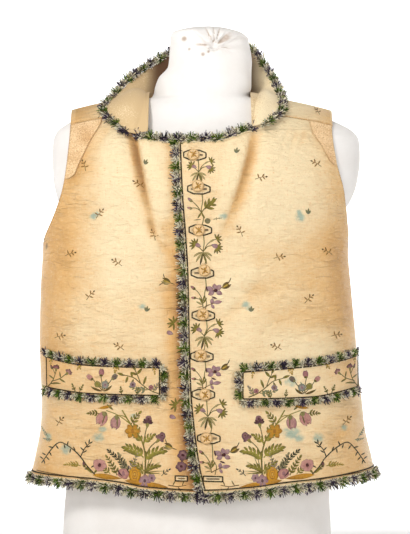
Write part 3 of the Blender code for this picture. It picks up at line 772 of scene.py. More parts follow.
def sheet_piece(name, points, wear, material, uv, flip=False, thickness=CLOTH, face=0.0):
    """A sheet of cloth from a grid of points, leaving out those that are missing.

    Its outer face lies at a height over the points: 0 is on them.
    """
    faces = grid_faces(*points.shape[:2], flip)
    flat = points.reshape(-1, 3)
    there = ~np.isnan(flat[:, 0])
    faces = faces[there[faces].all(axis=1)]
    number = np.cumsum(there) - 1
    piece = make_mesh(name, flat[there], number[faces], uv.reshape(-1, 2)[there],
                      {"wear": wear.reshape(-1, 3)[there]}, materials=[material])
    modifier = piece.modifiers.new("Wall", "SOLIDIFY")
    modifier.thickness = thickness * MM
    modifier.offset = 2 * face / thickness - 1
    return piece


def no_wear(points):
    return np.zeros((*points.shape[:-1], 3))


def run_lengths(points):
    """How far along a line each of its points is."""
    return np.concatenate([[0], np.cumsum(np.linalg.norm(np.diff(points, axis=0), axis=1))])


def round_cords(name, cords, material):
    """Round cords laid along lines. Each: points, rise (away from the cloth) and radius."""
    shapes, faces, uvs, first = [], [], [], 0
    turn = np.linspace(0, 2 * math.pi, CORD_SIDES, endpoint=False)
    for points, rise, radius in cords:
        run = unit(np.gradient(points, axis=0))
        side = unit(np.cross(run, rise))
        up = np.cross(side, run)
        ring = side[:, None] * np.cos(turn)[:, None] + up[:, None] * np.sin(turn)[:, None]
        uv = np.broadcast_arrays(turn / 6.283, run_lengths(points)[:, None] * MM)
        shapes.append((points[:, None] + ring * radius).reshape(-1, 3))
        faces.append(grid_faces(len(points), CORD_SIDES, closed=True) + first)
        uvs.append(np.stack(uv, -1).reshape(-1, 2))
        first += len(shapes[-1])
    return make_mesh(name, *map(np.concatenate, (shapes, faces, uvs)), materials=[material])


def apply_modifiers(piece):
    """Turn what a piece's modifiers make into its plain mesh."""
    graph = bpy.context.evaluated_depsgraph_get()
    made = bpy.data.meshes.new_from_object(piece.evaluated_get(graph))
    old = piece.data
    piece.modifiers.clear()
    piece.data = made
    bpy.data.meshes.remove(old)
    made.name = piece.name
    return piece


def place(piece, nodes=(), slot=None):
    """Ride the only body, and stand for the solids that the piece takes the place of."""
    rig.ride(piece, "root")
    if nodes:
        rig.replaces(piece, *nodes)
    if slot:
        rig.slot(piece, slot)
    return piece


# ---------------------------------------------------------------- node trees

class Term:
    """What a node gives, usable in sums with numbers and with other terms."""

    def __init__(self, graph, socket):
        self.graph, self.socket = graph, socket

    def __add__(self, other):
        return self.graph.math("ADD", self, other)

    def __sub__(self, other):
        return self.graph.math("SUBTRACT", self, other)

    def __rsub__(self, other):
        return self.graph.math("SUBTRACT", other, self)

    def __mul__(self, other):
        return self.graph.math("MULTIPLY", self, other)

    def __pow__(self, other):
        return self.graph.math("POWER", self, other)

    def __mod__(self, other):
        return self.graph.math("MODULO", self, other)

    __radd__, __rmul__ = __add__, __mul__

    def plus(self, other):
        """The sum of two vectors."""
        return self.graph.node("ShaderNodeVectorMath", {"operation": "ADD"}, {0: self, 1: other})

    def scaled(self, size):
        """A vector made longer or shorter."""
        return self.graph.node("ShaderNodeVectorMath", {"operation": "SCALE"},
                               {0: self, "Scale": size})

    def between(self, low, high):
        """0 below low, 1 above high and smooth between them."""
        return self.graph.node("ShaderNodeMapRange",
                               {"interpolation_type": "SMOOTHSTEP", "clamp": True},
                               {"Value": self, 1: low, 2: high})


class Graph:
    """A node tree that terms are added to."""

    def __init__(self, tree):
        self.tree = tree

    def put(self, value, socket):
        if isinstance(value, Term):
            self.tree.links.new(value.socket, socket)
        else:
            socket.default_value = value

    def node(self, kind, settings=None, inputs=None, output=0):
        made = self.tree.nodes.new(kind)
        for key, value in (settings or {}).items():
            setattr(made, key, value)
        for key, value in (inputs or {}).items():
            self.put(value, made.inputs[key])
        return Term(self, made.outputs[output])

    def math(self, operation, first, second=0.0):
        return self.node("ShaderNodeMath", {"operation": operation}, {0: first, 1: second})

    def blend(self, part, first, second, mode="MIX"):
        return self.node("ShaderNodeMix", {"data_type": "RGBA", "blend_type": mode},
                         {0: part, 6: first, 7: second}, 2)


class Finish(Graph):
    """A material: its fixed values sit on the shader, and what varies is linked to it."""

    def __init__(self, name, **fixed):
        self.material = bpy.data.materials.new(name)
        self.material.use_nodes = True
        super().__init__(self.material.node_tree)
        self.shader = self.tree.nodes["Principled BSDF"]
        for key, value in fixed.items():
            self.shader.inputs[key.replace("_", " ")].default_value = value

    def uv(self, scale=(1, 1, 1)):
        cloth_map = self.node("ShaderNodeUVMap", {"uv_map": "Cloth"})
        return self.node("ShaderNodeMapping", {}, {"Vector": cloth_map, "Scale": scale})

    def place(self, scale=(1, 1, 1)):
        spot = self.node("ShaderNodeTexCoord", output=3)
        return self.node("ShaderNodeMapping", {}, {"Vector": spot, "Scale": scale})

    def noise(self, vector, scale, detail=2.0, roughness=0.5, distortion=0.0):
        return self.node("ShaderNodeTexNoise", {},
                         {"Vector": vector, "Scale": scale, "Detail": detail,
                          "Roughness": roughness, "Distortion": distortion})

    def wave(self, across, vector, scale, distortion, **more):
        return self.node("ShaderNodeTexWave", {"wave_type": "BANDS", "bands_direction": across},
                         {"Vector": vector, "Scale": scale, "Distortion": distortion,
                          "Detail": 1.0, **more})

    def attribute(self, label, output=0):
        return self.node("ShaderNodeAttribute", {"attribute_name": label}, output=output)

    def parts(self, label):
        """The three channels of a colour attribute."""
        split = self.node("ShaderNodeSeparateColor", {}, {0: self.attribute(label)})
        return [Term(self, channel) for channel in split.socket.node.outputs]

    def close(self, colour=None, roughness=None, height=None, distance=0.0003, strength=1.0):
        """Link what varies to the shader."""
        if colour is not None:
            self.put(colour, self.shader.inputs["Base Color"])
        if roughness is not None:
            self.put(roughness, self.shader.inputs["Roughness"])
        if height is not None:
            relief = self.node("ShaderNodeBump", {}, {"Height": height, "Distance": distance,
                                                      "Strength": strength})
            self.put(relief, self.shader.inputs["Normal"])
        return self.material


class Shaping(Graph):
    """A Geometry Nodes tree with named sizes: lengths and angles, but for the kinds listed."""

    KINDS = {"Strands": "Int", "Seed": "Int", "Material": "Material"}

    def __init__(self, name, sizes):
        super().__init__(bpy.data.node_groups.new(name, "GeometryNodeTree"))
        sockets = self.tree.interface
        sockets.new_socket("Geometry", in_out="INPUT", socket_type="NodeSocketGeometry")
        for size in sizes:
            kind = self.KINDS.get(size, "Float")
            sockets.new_socket(size, in_out="INPUT", socket_type="NodeSocket" + kind)
        sockets.new_socket("Geometry", in_out="OUTPUT", socket_type="NodeSocketGeometry")
        self.start = self.tree.nodes.new("NodeGroupInput")

    def input(self, name):
        return Term(self, self.start.outputs[name])

    def named(self, label, kind="FLOAT_VECTOR"):
        return self.node("GeometryNodeInputNamedAttribute", {"data_type": kind}, {"Name": label})

    def store(self, geometry, label, value, kind="FLOAT", domain="POINT"):
        return self.node("GeometryNodeStoreNamedAttribute", {"data_type": kind, "domain": domain},
                         {"Geometry": geometry, "Name": label, "Value": value})

    def chance(self, seed, low=0.0, high=1.0):
        return self.node("FunctionNodeRandomValue", {"data_type": "FLOAT"},
                         {2: low, 3: high, "Seed": seed}, 1)

    def spots(self):
        """Points spaced evenly along the lines coming in, each knowing which way its line runs."""
        line = self.node("GeometryNodeMeshToCurve", {}, {"Mesh": self.input("Geometry")})
        even = self.node("GeometryNodeResampleCurve", {"mode": "LENGTH"},
                         {"Curve": line, "Length": self.input("Pitch")})
        even = self.store(even, "run", self.node("GeometryNodeInputTangent"), "FLOAT_VECTOR")
        return self.node("GeometryNodeCurveToPoints", {"mode": "EVALUATED"}, {"Curve": even})

    def copies(self, points, shape, turned, size):
        """A shape set down on every point, turned and sized, as real mesh."""
        copies = self.node("GeometryNodeInstanceOnPoints", {}, {
            "Points": points, "Instance": shape, "Rotation": turned, "Scale": size})
        return self.node("GeometryNodeRealizeInstances", {}, {"Geometry": copies})

    def moved(self, geometry, offset):
        return self.node("GeometryNodeSetPosition", {}, {"Geometry": geometry, "Offset": offset})

    def triple(self, x=0.0, y=0.0, z=0.0):
        return self.node("ShaderNodeCombineXYZ", {}, {0: x, 1: y, 2: z})

    def end(self, geometry):
        """Smooth what was made, give it its material and hand it out."""
        smooth = self.node("GeometryNodeSetShadeSmooth", {}, {"Geometry": geometry})
        finished = self.node("GeometryNodeSetMaterial", {},
                             {"Geometry": smooth, "Material": self.input("Material")})
        last = self.tree.nodes.new("NodeGroupOutput")
        self.put(finished, last.inputs[0])
        return self.tree


def shape_with(piece, tree, sizes):
    """Run a Geometry Nodes tree on a piece with these sizes, and keep the plain mesh."""
    modifier = piece.modifiers.new(tree.name, "NODES")
    modifier.node_group = tree
    for item in tree.interface.items_tree:
        if item.in_out == "INPUT" and item.name in sizes:
            modifier[item.identifier] = sizes[item.name]
    return apply_modifiers(piece)


def path_piece(name, lines, material, closed=False):
    """Lines of edges for a tree to follow. Each line: points, rise and out."""
    edges, first = [], 0
    for line, *_ways in lines:
        index = np.arange(len(line))
        pairs = np.stack([index, np.roll(index, -1)], -1)
        edges.append((pairs if closed else pairs[:-1]) + first)
        first += len(line)
    points, rises, outs = ([np.broadcast_to(line[part], line[0].shape) for line in lines]
                           for part in range(3))
    mesh = bpy.data.meshes.new(name)
    spots = np.concatenate(points) * MM
    mesh.from_pydata(spots.tolist(), np.concatenate(edges).tolist(), [])
    for label, values in (("rise", rises), ("out", outs)):
        attribute = mesh.attributes.new(label, "FLOAT_VECTOR", "POINT")
        attribute.data.foreach_set("vector", np.concatenate(values).astype(np.float32).ravel())
    mesh.materials.append(material)
    return put_in_scene(name, mesh)


def tuft_tree():
    """Knotted floss tufts along a line: each a fan of fine strands, in a round of four kinds."""
    tree = Shaping("Tufts", ("Pitch", "Strands", "Reach", "Spread", "Thickness", "Curl", "Seed",
                             "Material"))
    seed = tree.input("Seed")
    heads = tree.spots()
    heads = tree.store(heads, "kind", tree.node("GeometryNodeInputIndex") % 4.0)
    heads = tree.store(heads, "head", tree.chance(seed + 11))
    many = tree.node("GeometryNodeDuplicateElements", {"domain": "POINT"},
                     {"Geometry": heads, "Amount": tree.input("Strands")})
    many = tree.store(many, "strand", tree.chance(seed + 1))
    many = tree.store(many, "fan", tree.chance(seed + 2, -1.0, 1.0))
    many = tree.store(many, "lean", tree.node(
        "FunctionNodeRandomValue", {"data_type": "FLOAT_VECTOR"},
        {0: (-1, -1, -1), 1: (1, 1, 1), "Seed": seed + 3}), "FLOAT_VECTOR")
    run, out, rise = (tree.named(label) for label in ("run", "out", "rise"))
    fan = tree.named("fan", "FLOAT") * tree.input("Spread")
    ahead = tree.math("COSINE", fan)
    aim = out.scaled(ahead).plus(run.scaled(tree.math("SINE", fan)))
    aim = aim.plus(rise.scaled(tree.chance(seed + 4, -0.05, 0.75)))
    spot = out.scaled(tree.input("Reach") * 0.27).plus(tree.named("lean").scaled(0.0019))
    many = tree.moved(many, spot)

    strand = tree.node("GeometryNodeCurvePrimitiveLine", {}, {"End": (0, 0, 1)})
    strand = tree.node("GeometryNodeResampleCurve", {}, {"Curve": strand, "Count": 3})
    along = tree.node("GeometryNodeSplineParameter")
    strand = tree.store(strand, "along", along)
    strand = tree.node("GeometryNodeSetCurveRadius", {},
                       {"Curve": strand, "Radius": 1.05 - along * 0.4})
    ring = tree.node("GeometryNodeCurvePrimitiveCircle", {"mode": "RADIUS"},
                     {"Resolution": 3, "Radius": 1.0})
    strand = tree.node("GeometryNodeCurveToMesh", {},
                       {"Curve": strand, "Profile Curve": ring, "Fill Caps": True})

    pale = tree.named("kind", "FLOAT") % 2.0
    length = tree.input("Reach") * tree.chance(seed + 6, 0.8, 1.05) * (ahead * 0.2 + 0.54) * (
        1.1 - pale * 0.22)
    size = tree.triple(tree.input("Thickness"), tree.input("Thickness"), length)
    turned = tree.node("FunctionNodeAlignRotationToVector", {"axis": "Z"}, {"Vector": aim})
    real = tree.copies(many, strand, turned, size)
    bend = tree.named("along", "FLOAT") ** 1.8
    lean = tree.named("lean").scaled(bend * tree.input("Curl"))
    return tree.end(tree.moved(real, lean.plus(rise.scaled(bend * tree.input("Curl") * 0.35))))


def stitch_tree():
    """Small rounded stitches along a line, each at a slant to it."""
    tree = Shaping("Stitches", ("Pitch", "Length", "Width", "Slant", "Seed", "Material"))
    seed = tree.input("Seed")
    spots = tree.store(tree.spots(), "strand", tree.chance(seed + 1))
    turned = tree.node("FunctionNodeAlignRotationToVector", {"axis": "X"},
                       {"Vector": tree.named("run")})
    turned = tree.node("FunctionNodeAlignRotationToVector", {"axis": "Z", "pivot_axis": "X"},
                       {"Rotation": turned, "Vector": tree.named("rise")})
    slant = tree.triple(z=tree.input("Slant") + tree.chance(seed + 2, -0.12, 0.12))
    slant = tree.node("FunctionNodeEulerToRotation", {}, {0: slant})
    turned = tree.node("FunctionNodeRotateRotation", {"rotation_space": "LOCAL"},
                       {0: turned, 1: slant})
    bead = tree.node("GeometryNodeMeshUVSphere", {}, {"Segments": 6, "Rings": 4, "Radius": 0.5})
    size = tree.triple(tree.input("Length") * tree.chance(seed + 3, 0.88, 1.1),
                       tree.input("Width"), tree.input("Width") * 0.8)
    return tree.end(tree.copies(spots, bead, turned, size))


# ---------------------------------------------------------------- finishes

def silk_finish(look):
    """Cream silk: a ribbed, slubby weave with a soft sheen, browner with ageing and with painted shade at the sides
    and in the creases.
    """
    finish = Finish("aged_silk", Sheen_Weight=0.12, Sheen_Roughness=0.4,
                    Sheen_Tint=(1.0, 0.86, 0.62, 1.0))
    fresh, worn, deep, gleam = ((*colour, 1) for colour in (look.fresh, look.worn, look.deep,
                                                            look.gleam))
    wear, stain, soil_and_shade = finish.parts("wear")
    broad = finish.noise(finish.place(), 9.0, 4.0, 0.6)
    slub = finish.noise(finish.uv((90, 800, 1)), 1.0, 3.0, 0.7)
    warp = finish.noise(finish.uv((900, 60, 1)), 1.0, 3.0, 0.7)
    cloud = finish.noise(finish.uv(), 60.0, 4.0, 0.7)
    crush = finish.noise(finish.uv((50, 130, 1)), 1.0, 4.0, 0.6, 0.6)
    age_and_shade = wear + (broad - 0.5) * 0.3 + (cloud - 0.5) * 0.28 + (crush - 0.5) * 0.25
    # the browner colours show real ageing and also painted shade, where age_and_shade is high at the sides and in the
    # creases
    colour = finish.blend(age_and_shade.between(-0.25, 0.75), fresh, worn)
    colour = finish.blend(age_and_shade.between(0.5, 1.7), colour, deep)
    streak = (slub - 0.5) * 0.6 + (warp - 0.5) * 0.4 + 0.5
    colour = finish.blend(streak.between(0.48, 0.3) * 0.8, colour, worn, "MULTIPLY")
    colour = finish.blend(streak.between(0.54, 0.7) * 0.7, colour, gleam)
    specks = finish.noise(finish.uv(), 420.0, 2.0, 0.5)
    colour = finish.blend(specks.between(0.70, 0.78) * 0.3, colour, deep)
    tide = finish.noise(finish.uv(), 110.0, 4.0, 0.7)
    water = (stain * (tide * 2.2 - 0.3)).between(0.1, 0.8) * 0.75
    colour = finish.blend(water, colour, linear(136, 172, 160))
    # brown from real dirt spots, and painted shade down the deeper crease troughs
    colour = finish.blend(soil_and_shade.between(0.05, 1.0) * 0.85, colour, linear(136, 94, 50))
    roughness = 0.40 + (slub - 0.5) * 0.2 + wear * 0.1
    rib = finish.wave("Y", finish.uv(), 330.0, 1.2, **{"Detail Scale": 40.0})
    fold = finish.noise(finish.uv((17, 72, 1)), 1.0, 3.0, 0.55, 0.8)
    patch = finish.noise(finish.uv(), 17.0, 2.0, 0.5).between(0.36, 0.6)
    pucker = finish.math("ABSOLUTE", fold - 0.5).between(0.05, 0.0)
    pucker = pucker * patch * (wear.between(-0.2, 0.7) * 0.8 + 0.25)
    height = slub * 0.6 + warp * 0.4 + rib * 0.14 + cloud * 1.8 + crush * 3.6 + pucker * 0.95
    return finish.close(colour, roughness, height, 0.0016, 0.9)


def plain_cloth_finish(name, light, dark, coarse, relief=1.0, spotted=0.0, spot=(0, 0, 0)):
    """Plain-woven cloth with visible threads, and flecks where it is spotted."""
    finish = Finish(name, Roughness=0.9, Sheen_Weight=0.08)
    wear, _stain, soil_and_shade = finish.parts("wear")
    weft = finish.noise(finish.uv((coarse * 0.5, coarse, 1)), 1.0, 2.0, 0.6)
    warp = finish.noise(finish.uv((coarse, coarse * 0.5, 1)), 1.0, 2.0, 0.6)
    cloud = finish.noise(finish.uv(), 30.0, 4.0, 0.6)
    thread = weft * 0.5 + warp * 0.5
    part = thread + (cloud - 0.5) * 0.12 - wear * 0.2
    colour = finish.blend(part.between(0.32, 0.62), linear(*dark), linear(*light))
    if spotted:
        fleck = finish.noise(finish.uv(), coarse * 0.8, 2.0, 0.6)
        colour = finish.blend(fleck.between(0.54, 0.64) * spotted, colour, linear(*spot))
    # brown from dirt, and on the collar lining painted shade behind the neck
    colour = finish.blend(soil_and_shade.between(0.05, 1.0), colour, linear(86, 54, 30))
    return finish.close(colour, None, thread * 1.5 + cloud * 0.6, 0.0008 * relief, 0.8)


def fringe_finish():
    """Silk floss: tufts of aubergine grey and moss green between cream ones."""
    finish = Finish("silk_floss", Roughness=0.6, Specular_IOR_Level=0.3)
    kind, strand, head, along = (finish.attribute(label, 2)
                                 for label in ("kind", "strand", "head", "along"))
    cream = finish.blend(strand.between(0.1, 0.6), linear(112, 96, 58), linear(252, 243, 214))
    plum = finish.blend(strand.between(0.1, 0.76), linear(22, 15, 28), linear(90, 74, 96))
    plum = finish.blend(strand.between(0.82, 0.86), plum, linear(236, 224, 206))
    moss = finish.blend(strand.between(0.1, 0.85), linear(28, 46, 6), linear(106, 134, 34))
    moss = finish.blend(strand.between(0.90, 0.94), moss, linear(216, 210, 146))
    dark = kind.between(0.4, 0.1)
    green = finish.math("COMPARE", kind, 2.0)
    colour = finish.blend(dark, cream, plum)
    colour = finish.blend(green, colour, moss)
    # painted shade: strands darker towards their roots; each tuft also darker at random
    shade = (1.0 - along).between(0.25, 0.95) * 0.6 + head * 0.12
    colour = finish.blend(shade, colour, linear(46, 36, 22), "MULTIPLY")
    return finish.close(colour)


def thread_finish(name, colour=None):
    """Silk embroidery thread, from one colour or from the needlework's own."""
    finish = Finish(name, Roughness=0.55, Specular_IOR_Level=0.3)
    ply = finish.wave("X", finish.uv(), 520.0, 2.0)
    patchy = finish.noise(finish.place(), 320.0, 3.0, 0.7)
    base = linear(*colour) if colour else finish.attribute("thread")
    base = finish.blend(patchy.between(0.52, 0.7) * 0.22, base, linear(214, 184, 120))
    base = finish.blend(patchy.between(0.5, 0.3) * 0.4, base, linear(70, 52, 26))
    base = finish.blend(ply * 0.2, base, linear(60, 46, 28), "MULTIPLY")
    return finish.close(base, None, ply, 0.0002, 0.6)


def cotton_finish(look):
    """White cotton stretched over the form, faintly grey and pink, with a few old spots and painted shade down its
    gathers.
    """
    finish = Finish("form_cotton", Roughness=0.85, Sheen_Weight=0.05)
    _wear, _stain, soil_and_shade = finish.parts("wear")
    spot = finish.place()
    weave = finish.noise(finish.place(), 900.0, 2.0, 0.6)
    cloud = finish.noise(spot, 11.0, 4.0, 0.6)
    colour = finish.blend(cloud.between(0.35, 0.7), (*look.cotton, 1), linear(232, 227, 222))
    colour = finish.blend(weave.between(0.55, 0.75) * 0.10, colour, linear(176, 170, 164))
    old = finish.noise(spot, 90.0, 4.0, 0.7)
    # brown from old spots, and painted shade down the gathers at the neck's top
    colour = finish.blend((soil_and_shade * (old + 0.3)).between(0.25, 0.9) * 0.7, colour,
                          linear(150, 116, 82))
    return finish.close(colour, None, weave * 0.35 + cloud * 2.0, 0.0004, 0.5)


# ---------------------------------------------------------------- ageing, stains, dirt spots and painted shade

# distance from the centre line, height, size
STAINS = table("""
-152 200 7; -146 212 5; -200 181 8; -228 197 7; -88 390 4.5; -160 521 5; -154 524 4; 128 207 10
140 199 6; 168 199 7; 62 393 5; 66 387 4; 142 519 6; 140 526 4; 127 281 7; 30 520 5; 208 212 5
-100 232 4
""")
SOIL_SPOTS = table("-238 484 7; -232 478 5; 216 480 4")
FORM_MARKS = table("-28 786 5; 0 762 4; 8 766 3; -20 770 3")


def spots_at(points, spots, stretch=1.0):
    """1 at the middle of each spot, fading to 0 round it."""
    total = np.zeros(points.shape[:-1])
    for x, z, size in spots:
        y = bare(angle_of(x, z), arc_of(x, z))[..., 1] if z < 680 else points[..., 1].clip(None, 0)
        level = np.hypot(points[..., 0] - x, points[..., 1] - y) / stretch
        off = np.hypot(level, points[..., 2] - z)
        total = np.maximum(total, bump(off, size))
    return total


def silk_tone_and_shade(points, side=0):
    """Ageing, water stains and dirt over silk, fixed to the cloth, with painted shade and painted light laid into
    them.
    """
    x, y, z = np.moveaxis(np.nan_to_num(points), -1, 0)
    front = y < 0
    low = soft((310 - z) / 70)
    waist = soft((540 - z) / 80) * (1 - soft((390 - z) / 70))
    # painted shade: browner where the cloth turns away to the sides; painted light: lighter over the wearer's left
    # (+x)
    age_and_shade = 0.10 + 0.75 * soft((np.abs(x) - 130) / 110) * (1 - 0.5 * low) - 0.15 * soft(x / 60)
    age_and_shade += 0.16 * soft((300 - z) / 120) + 0.12 * soft((170 - z) / 40) * soft(-x / 60)
    age_and_shade += 0.10 * soft((z - 560) / 90) * (x < -60)
    age_and_shade += 0.42 * waist * soft((x - 50) / 60) - 0.12 * soft((440 - z) / 80) * soft(-(x + 150) / 40)
    age_and_shade -= 0.14 * soft((380 - z) / 60) * soft((z - 240) / 40) * soft((x - 70) / 60)
    push = crease_push(points)
    # painted shade: browner down the crease troughs, lighter along their ridges
    age_and_shade -= np.clip(push, -8, 2) * 0.1 * (1 - 0.4 * soft((520 - z) / 40))
    # painted shadow: on the right front, browner beside the left front's edge, which overlaps it
    if side < 0:
        inside = np.maximum(centre_edge(z) - x, 0)
        age_and_shade += 0.95 * bump(inside, 28) * soft((510 - z) / 110)
        age_and_shade += 0.7 * bump(inside, 17)
    # lighter over the upper chest on both sides of the front
    age_and_shade -= 0.35 * bump(np.abs(x + 112), 38) * soft((z - 380) / 80) * front
    age_and_shade -= 0.18 * bump(np.abs(x - 118), 44) * soft((z - 400) / 120) * front
    age_and_shade += 0.07 * rumple(points, 70, 5) - 0.4 * soft((y + 70) / 60) * (np.abs(x) > 190)
    water = spots_at(points, STAINS, 1.4)
    # real dirt spots, plus painted shade: brown down the deeper crease troughs
    soil_and_shade = spots_at(points, SOIL_SPOTS) + 0.12 * np.clip(-push - 2.5, 0, 8)
    return np.stack([age_and_shade, water, soil_and_shade], -1)


# ---------------------------------------------------------------- the cloth pieces

# the edges of the cotton folded over the neck's top, as lines of points on the front
OVERFOLD = (table("-13 797; -2 786; 8 772; 19 770"), table("19 770; 37 781; 52 788; 66 787"))
# where the cover's gathers meet: distance from the centre line, height
GATHERS = (18, 775)
# the cover's fullness at the throat: how far out, how high, and its half height and half width
THROAT = (11, 694, 22, 56)
FORM_COLUMNS = 176


def build_form_mesh(material):
    """The form: a fine loft with its cotton gathered and folded over at the neck's top."""
    heights = np.unique(np.concatenate([
        np.linspace(0, 640, 66), np.linspace(640, 700, 31), np.linspace(700, FORM_TOP, 66)]))
    turns = np.linspace(0, 2 * math.pi, FORM_COLUMNS, endpoint=False)
    right, left, front, back, square = (column[:, None]
                                        for column in Lookup(FORM_SECTIONS)(heights).T)
    slim = Lookup(NECK_SLIMMER)(heights)
    right, left, front = right - slim[:, :1], left - slim[:, 1:2], front - slim[:, 2:]
    sine, cosine = np.sin(turns)[None], np.cos(turns)[None]
    x = (left - right) / 2 + np.copysign((left + right) / 2 * np.abs(sine) ** (2 / square), sine)
    depth = np.where(cosine > 0, front, back)
    y = -np.copysign(depth * np.abs(cosine) ** (2 / square), cosine)
    z = heights[:, None] * np.ones_like(x)
    points = np.stack([x, y, z], -1)

    top = soft((z - 735) / 30)
    ahead = soft((-y + 4) / 24)
    off_x, off_z = x - GATHERS[0], z - GATHERS[1]
    reach = np.hypot(off_x, off_z)
    bearing = np.arctan2(off_x, off_z)
    fan = np.sin(bearing * 11 + 2.5 * np.sin(bearing * 3)) * soft(reach / 10)
    fan *= bump(reach, 34) * soft((off_z + 16) / 18)
    push = ahead * (3.6 * fan + -6.5 * bump(reach, 6))
    for line in OVERFOLD:
        distance, _place = to_line(points[..., [0, 2]], np.array(line))
        push = push + ahead * top * 2.8 * (bump(distance - 2.2, 2.6)
                                           - 1.1 * bump(distance + 1.2, 1.7))
    round_neck = 0.5 * rumple(points, 30, 8) * soft((z - 715) / 30) * (1 - 0.5 * ahead)
    seat = -0.35 * (1 + rumple(points, 60, 3)) * (1 - soft((z - 690) / 20))
    hollow = unit(np.stack([(x - (left - right) / 2) / (left + right) * 2,
                            y / np.maximum(depth, 1), 0 * z + 0.02], -1))
    points = points + hollow * (push + round_neck + seat)[..., None]
    points[..., 2] = np.clip(points[..., 2], 0, FORM_TOP)
    full, level, high, wide = THROAT
    points[..., 1] -= full * np.exp(-((z - level) / high) ** 2 - (x / wide) ** 2) * (y < 0)
    marks_and_shade = 1.1 * spots_at(points, FORM_MARKS)
    # a darker band at the foot of the cover, and painted shade: dark lines down the troughs of the gathers at the
    # neck's top
    marks_and_shade += 0.35 * bump(z, 14) + ahead * 0.9 * clamp(-fan * 2.2 - 0.3)
    rows, columns = x.shape
    faces = grid_faces(rows, columns, closed=True)
    middle = np.array([[(left[end, 0] - right[end, 0]) / 2, 0, high]
                       for end, high in ((0, 0), (-1, FORM_TOP))])
    every = np.concatenate([points.reshape(-1, 3), middle])
    wear = np.zeros((len(every), 3))
    wear[:-2, 2] = marks_and_shade.reshape(-1)
    piece = make_mesh("dress_form_cover", every, faces, colours={"wear": wear},
                      materials=[material])
    build = bmesh.new()
    build.from_mesh(piece.data)
    build.verts.ensure_lookup_table()
    for ring, centre, turned in ((0, rows * columns, True),
                                 ((rows - 1) * columns, rows * columns + 1, False)):
        for index in range(columns):
            corners = [build.verts[ring + index], build.verts[ring + (index + 1) % columns],
                       build.verts[centre]]
            build.faces.new(reversed(corners) if turned else corners).smooth = not turned
    build.normal_update()
    build.to_mesh(piece.data)
    build.free()
    return piece


def front_cloth(side, word, material):
    """One front, from its placket round to the side seam and up to the shoulder seam."""
    angles, arcs = front_grid(side)
    filled = np.nan_to_num(angles)
    x = bare(filled, arcs)[..., 0]
    drop = under_drop(x) if side < 0 else 0.0
    points = cloth(filled, arcs, drop)
    wear = silk_tone_and_shade(points, side)
    points[np.isnan(angles)] = np.nan
    uv = cloth_uv(np.where(np.isnan(points), bare(filled, arcs), points), along=arcs)
    return sheet_piece(f"waistcoat_front_{word}", points, wear, material, uv, side < 0)


def back_cloth(material):
    """The plain back, from side seam to side seam."""
    angles, arcs = back_grid()
    points = cloth(angles, arcs)
    wear = no_wear(points)
    wear[..., 0] = 0.12 * rumple(points, 90, 2) + 0.4 * soft((330 - points[..., 2]) / 200)
    # painted shade: browner down the back's crease troughs, lighter along their ridges
    wear[..., 0] -= 0.1 * np.clip(crease_push(points), -6, 2)
    return sheet_piece("waistcoat_back", points, wear, material, cloth_uv(points, along=arcs))


def strip_cloth(side, word, material):
    """The silk strip over a shoulder, gathered a little into the front's seam."""
    rows, columns = STRIP_GRID
    arcs = np.linspace(FRONT_SEAM + SHOULDER_GAP, arc_at_angle(SEAM_BACK) - SHOULDER_GAP, rows)
    tip = shoulder_tip_angle(side)
    angles = np.array([
        np.linspace(float(angle_of(side * neck_curve[side](arc), CHEST + 1)), tip, columns)
        for arc in arcs])
    arcs = arcs[:, None] * np.ones_like(angles)
    points = cloth(angles, arcs)
    swell = np.sin(np.linspace(0, math.pi, rows))[:, None] * 0.8
    from_seam = arcs - arcs[0, 0]
    pucker = 0.5 * np.sin(angles * 1.1) * bump(from_seam, 10)
    points = points + outward(angles, arcs) * (swell + pucker)[..., None]
    wear = silk_tone_and_shade(points)
    wear[..., 0] += 0.6 * bump(from_seam, 4)
    return sheet_piece(f"shoulder_strip_{word}_silk", points, wear, material,
                       cloth_uv(points, along=arcs), side < 0)


COLLAR_SHARES = 22
COLLAR_PLACES = 210
TURNING_ROWS = 7
# how far from the centre line the lining is turned in to, right and left
NECK_SIDES = (-79.0, 70.0)


def collar_turning(places, count):
    """The collar lining's lower edge, turned in over the shoulders towards the form's neck."""
    base, edge, _roll = collar_section(places)
    rows = collar_curve(places)
    target = np.where(rows[:, 0] < 0, *NECK_SIDES)
    reach = 1 - soft((places - 6.0) / 1.6) + soft((places - 14.0) / 1.2)
    down = unit(base - edge) * 0.8
    turned = []
    for share in np.linspace(1, 0, count, endpoint=False):
        x = mix(rows[:, 0], target, share * reach)
        over = cloth(angle_of(x, CHEST + 1), rows[:, 1], COLLAR_LIFT + 0.5 * share)
        turned.append(over + down * share * (1 - reach)[:, None])
    return np.array(turned)


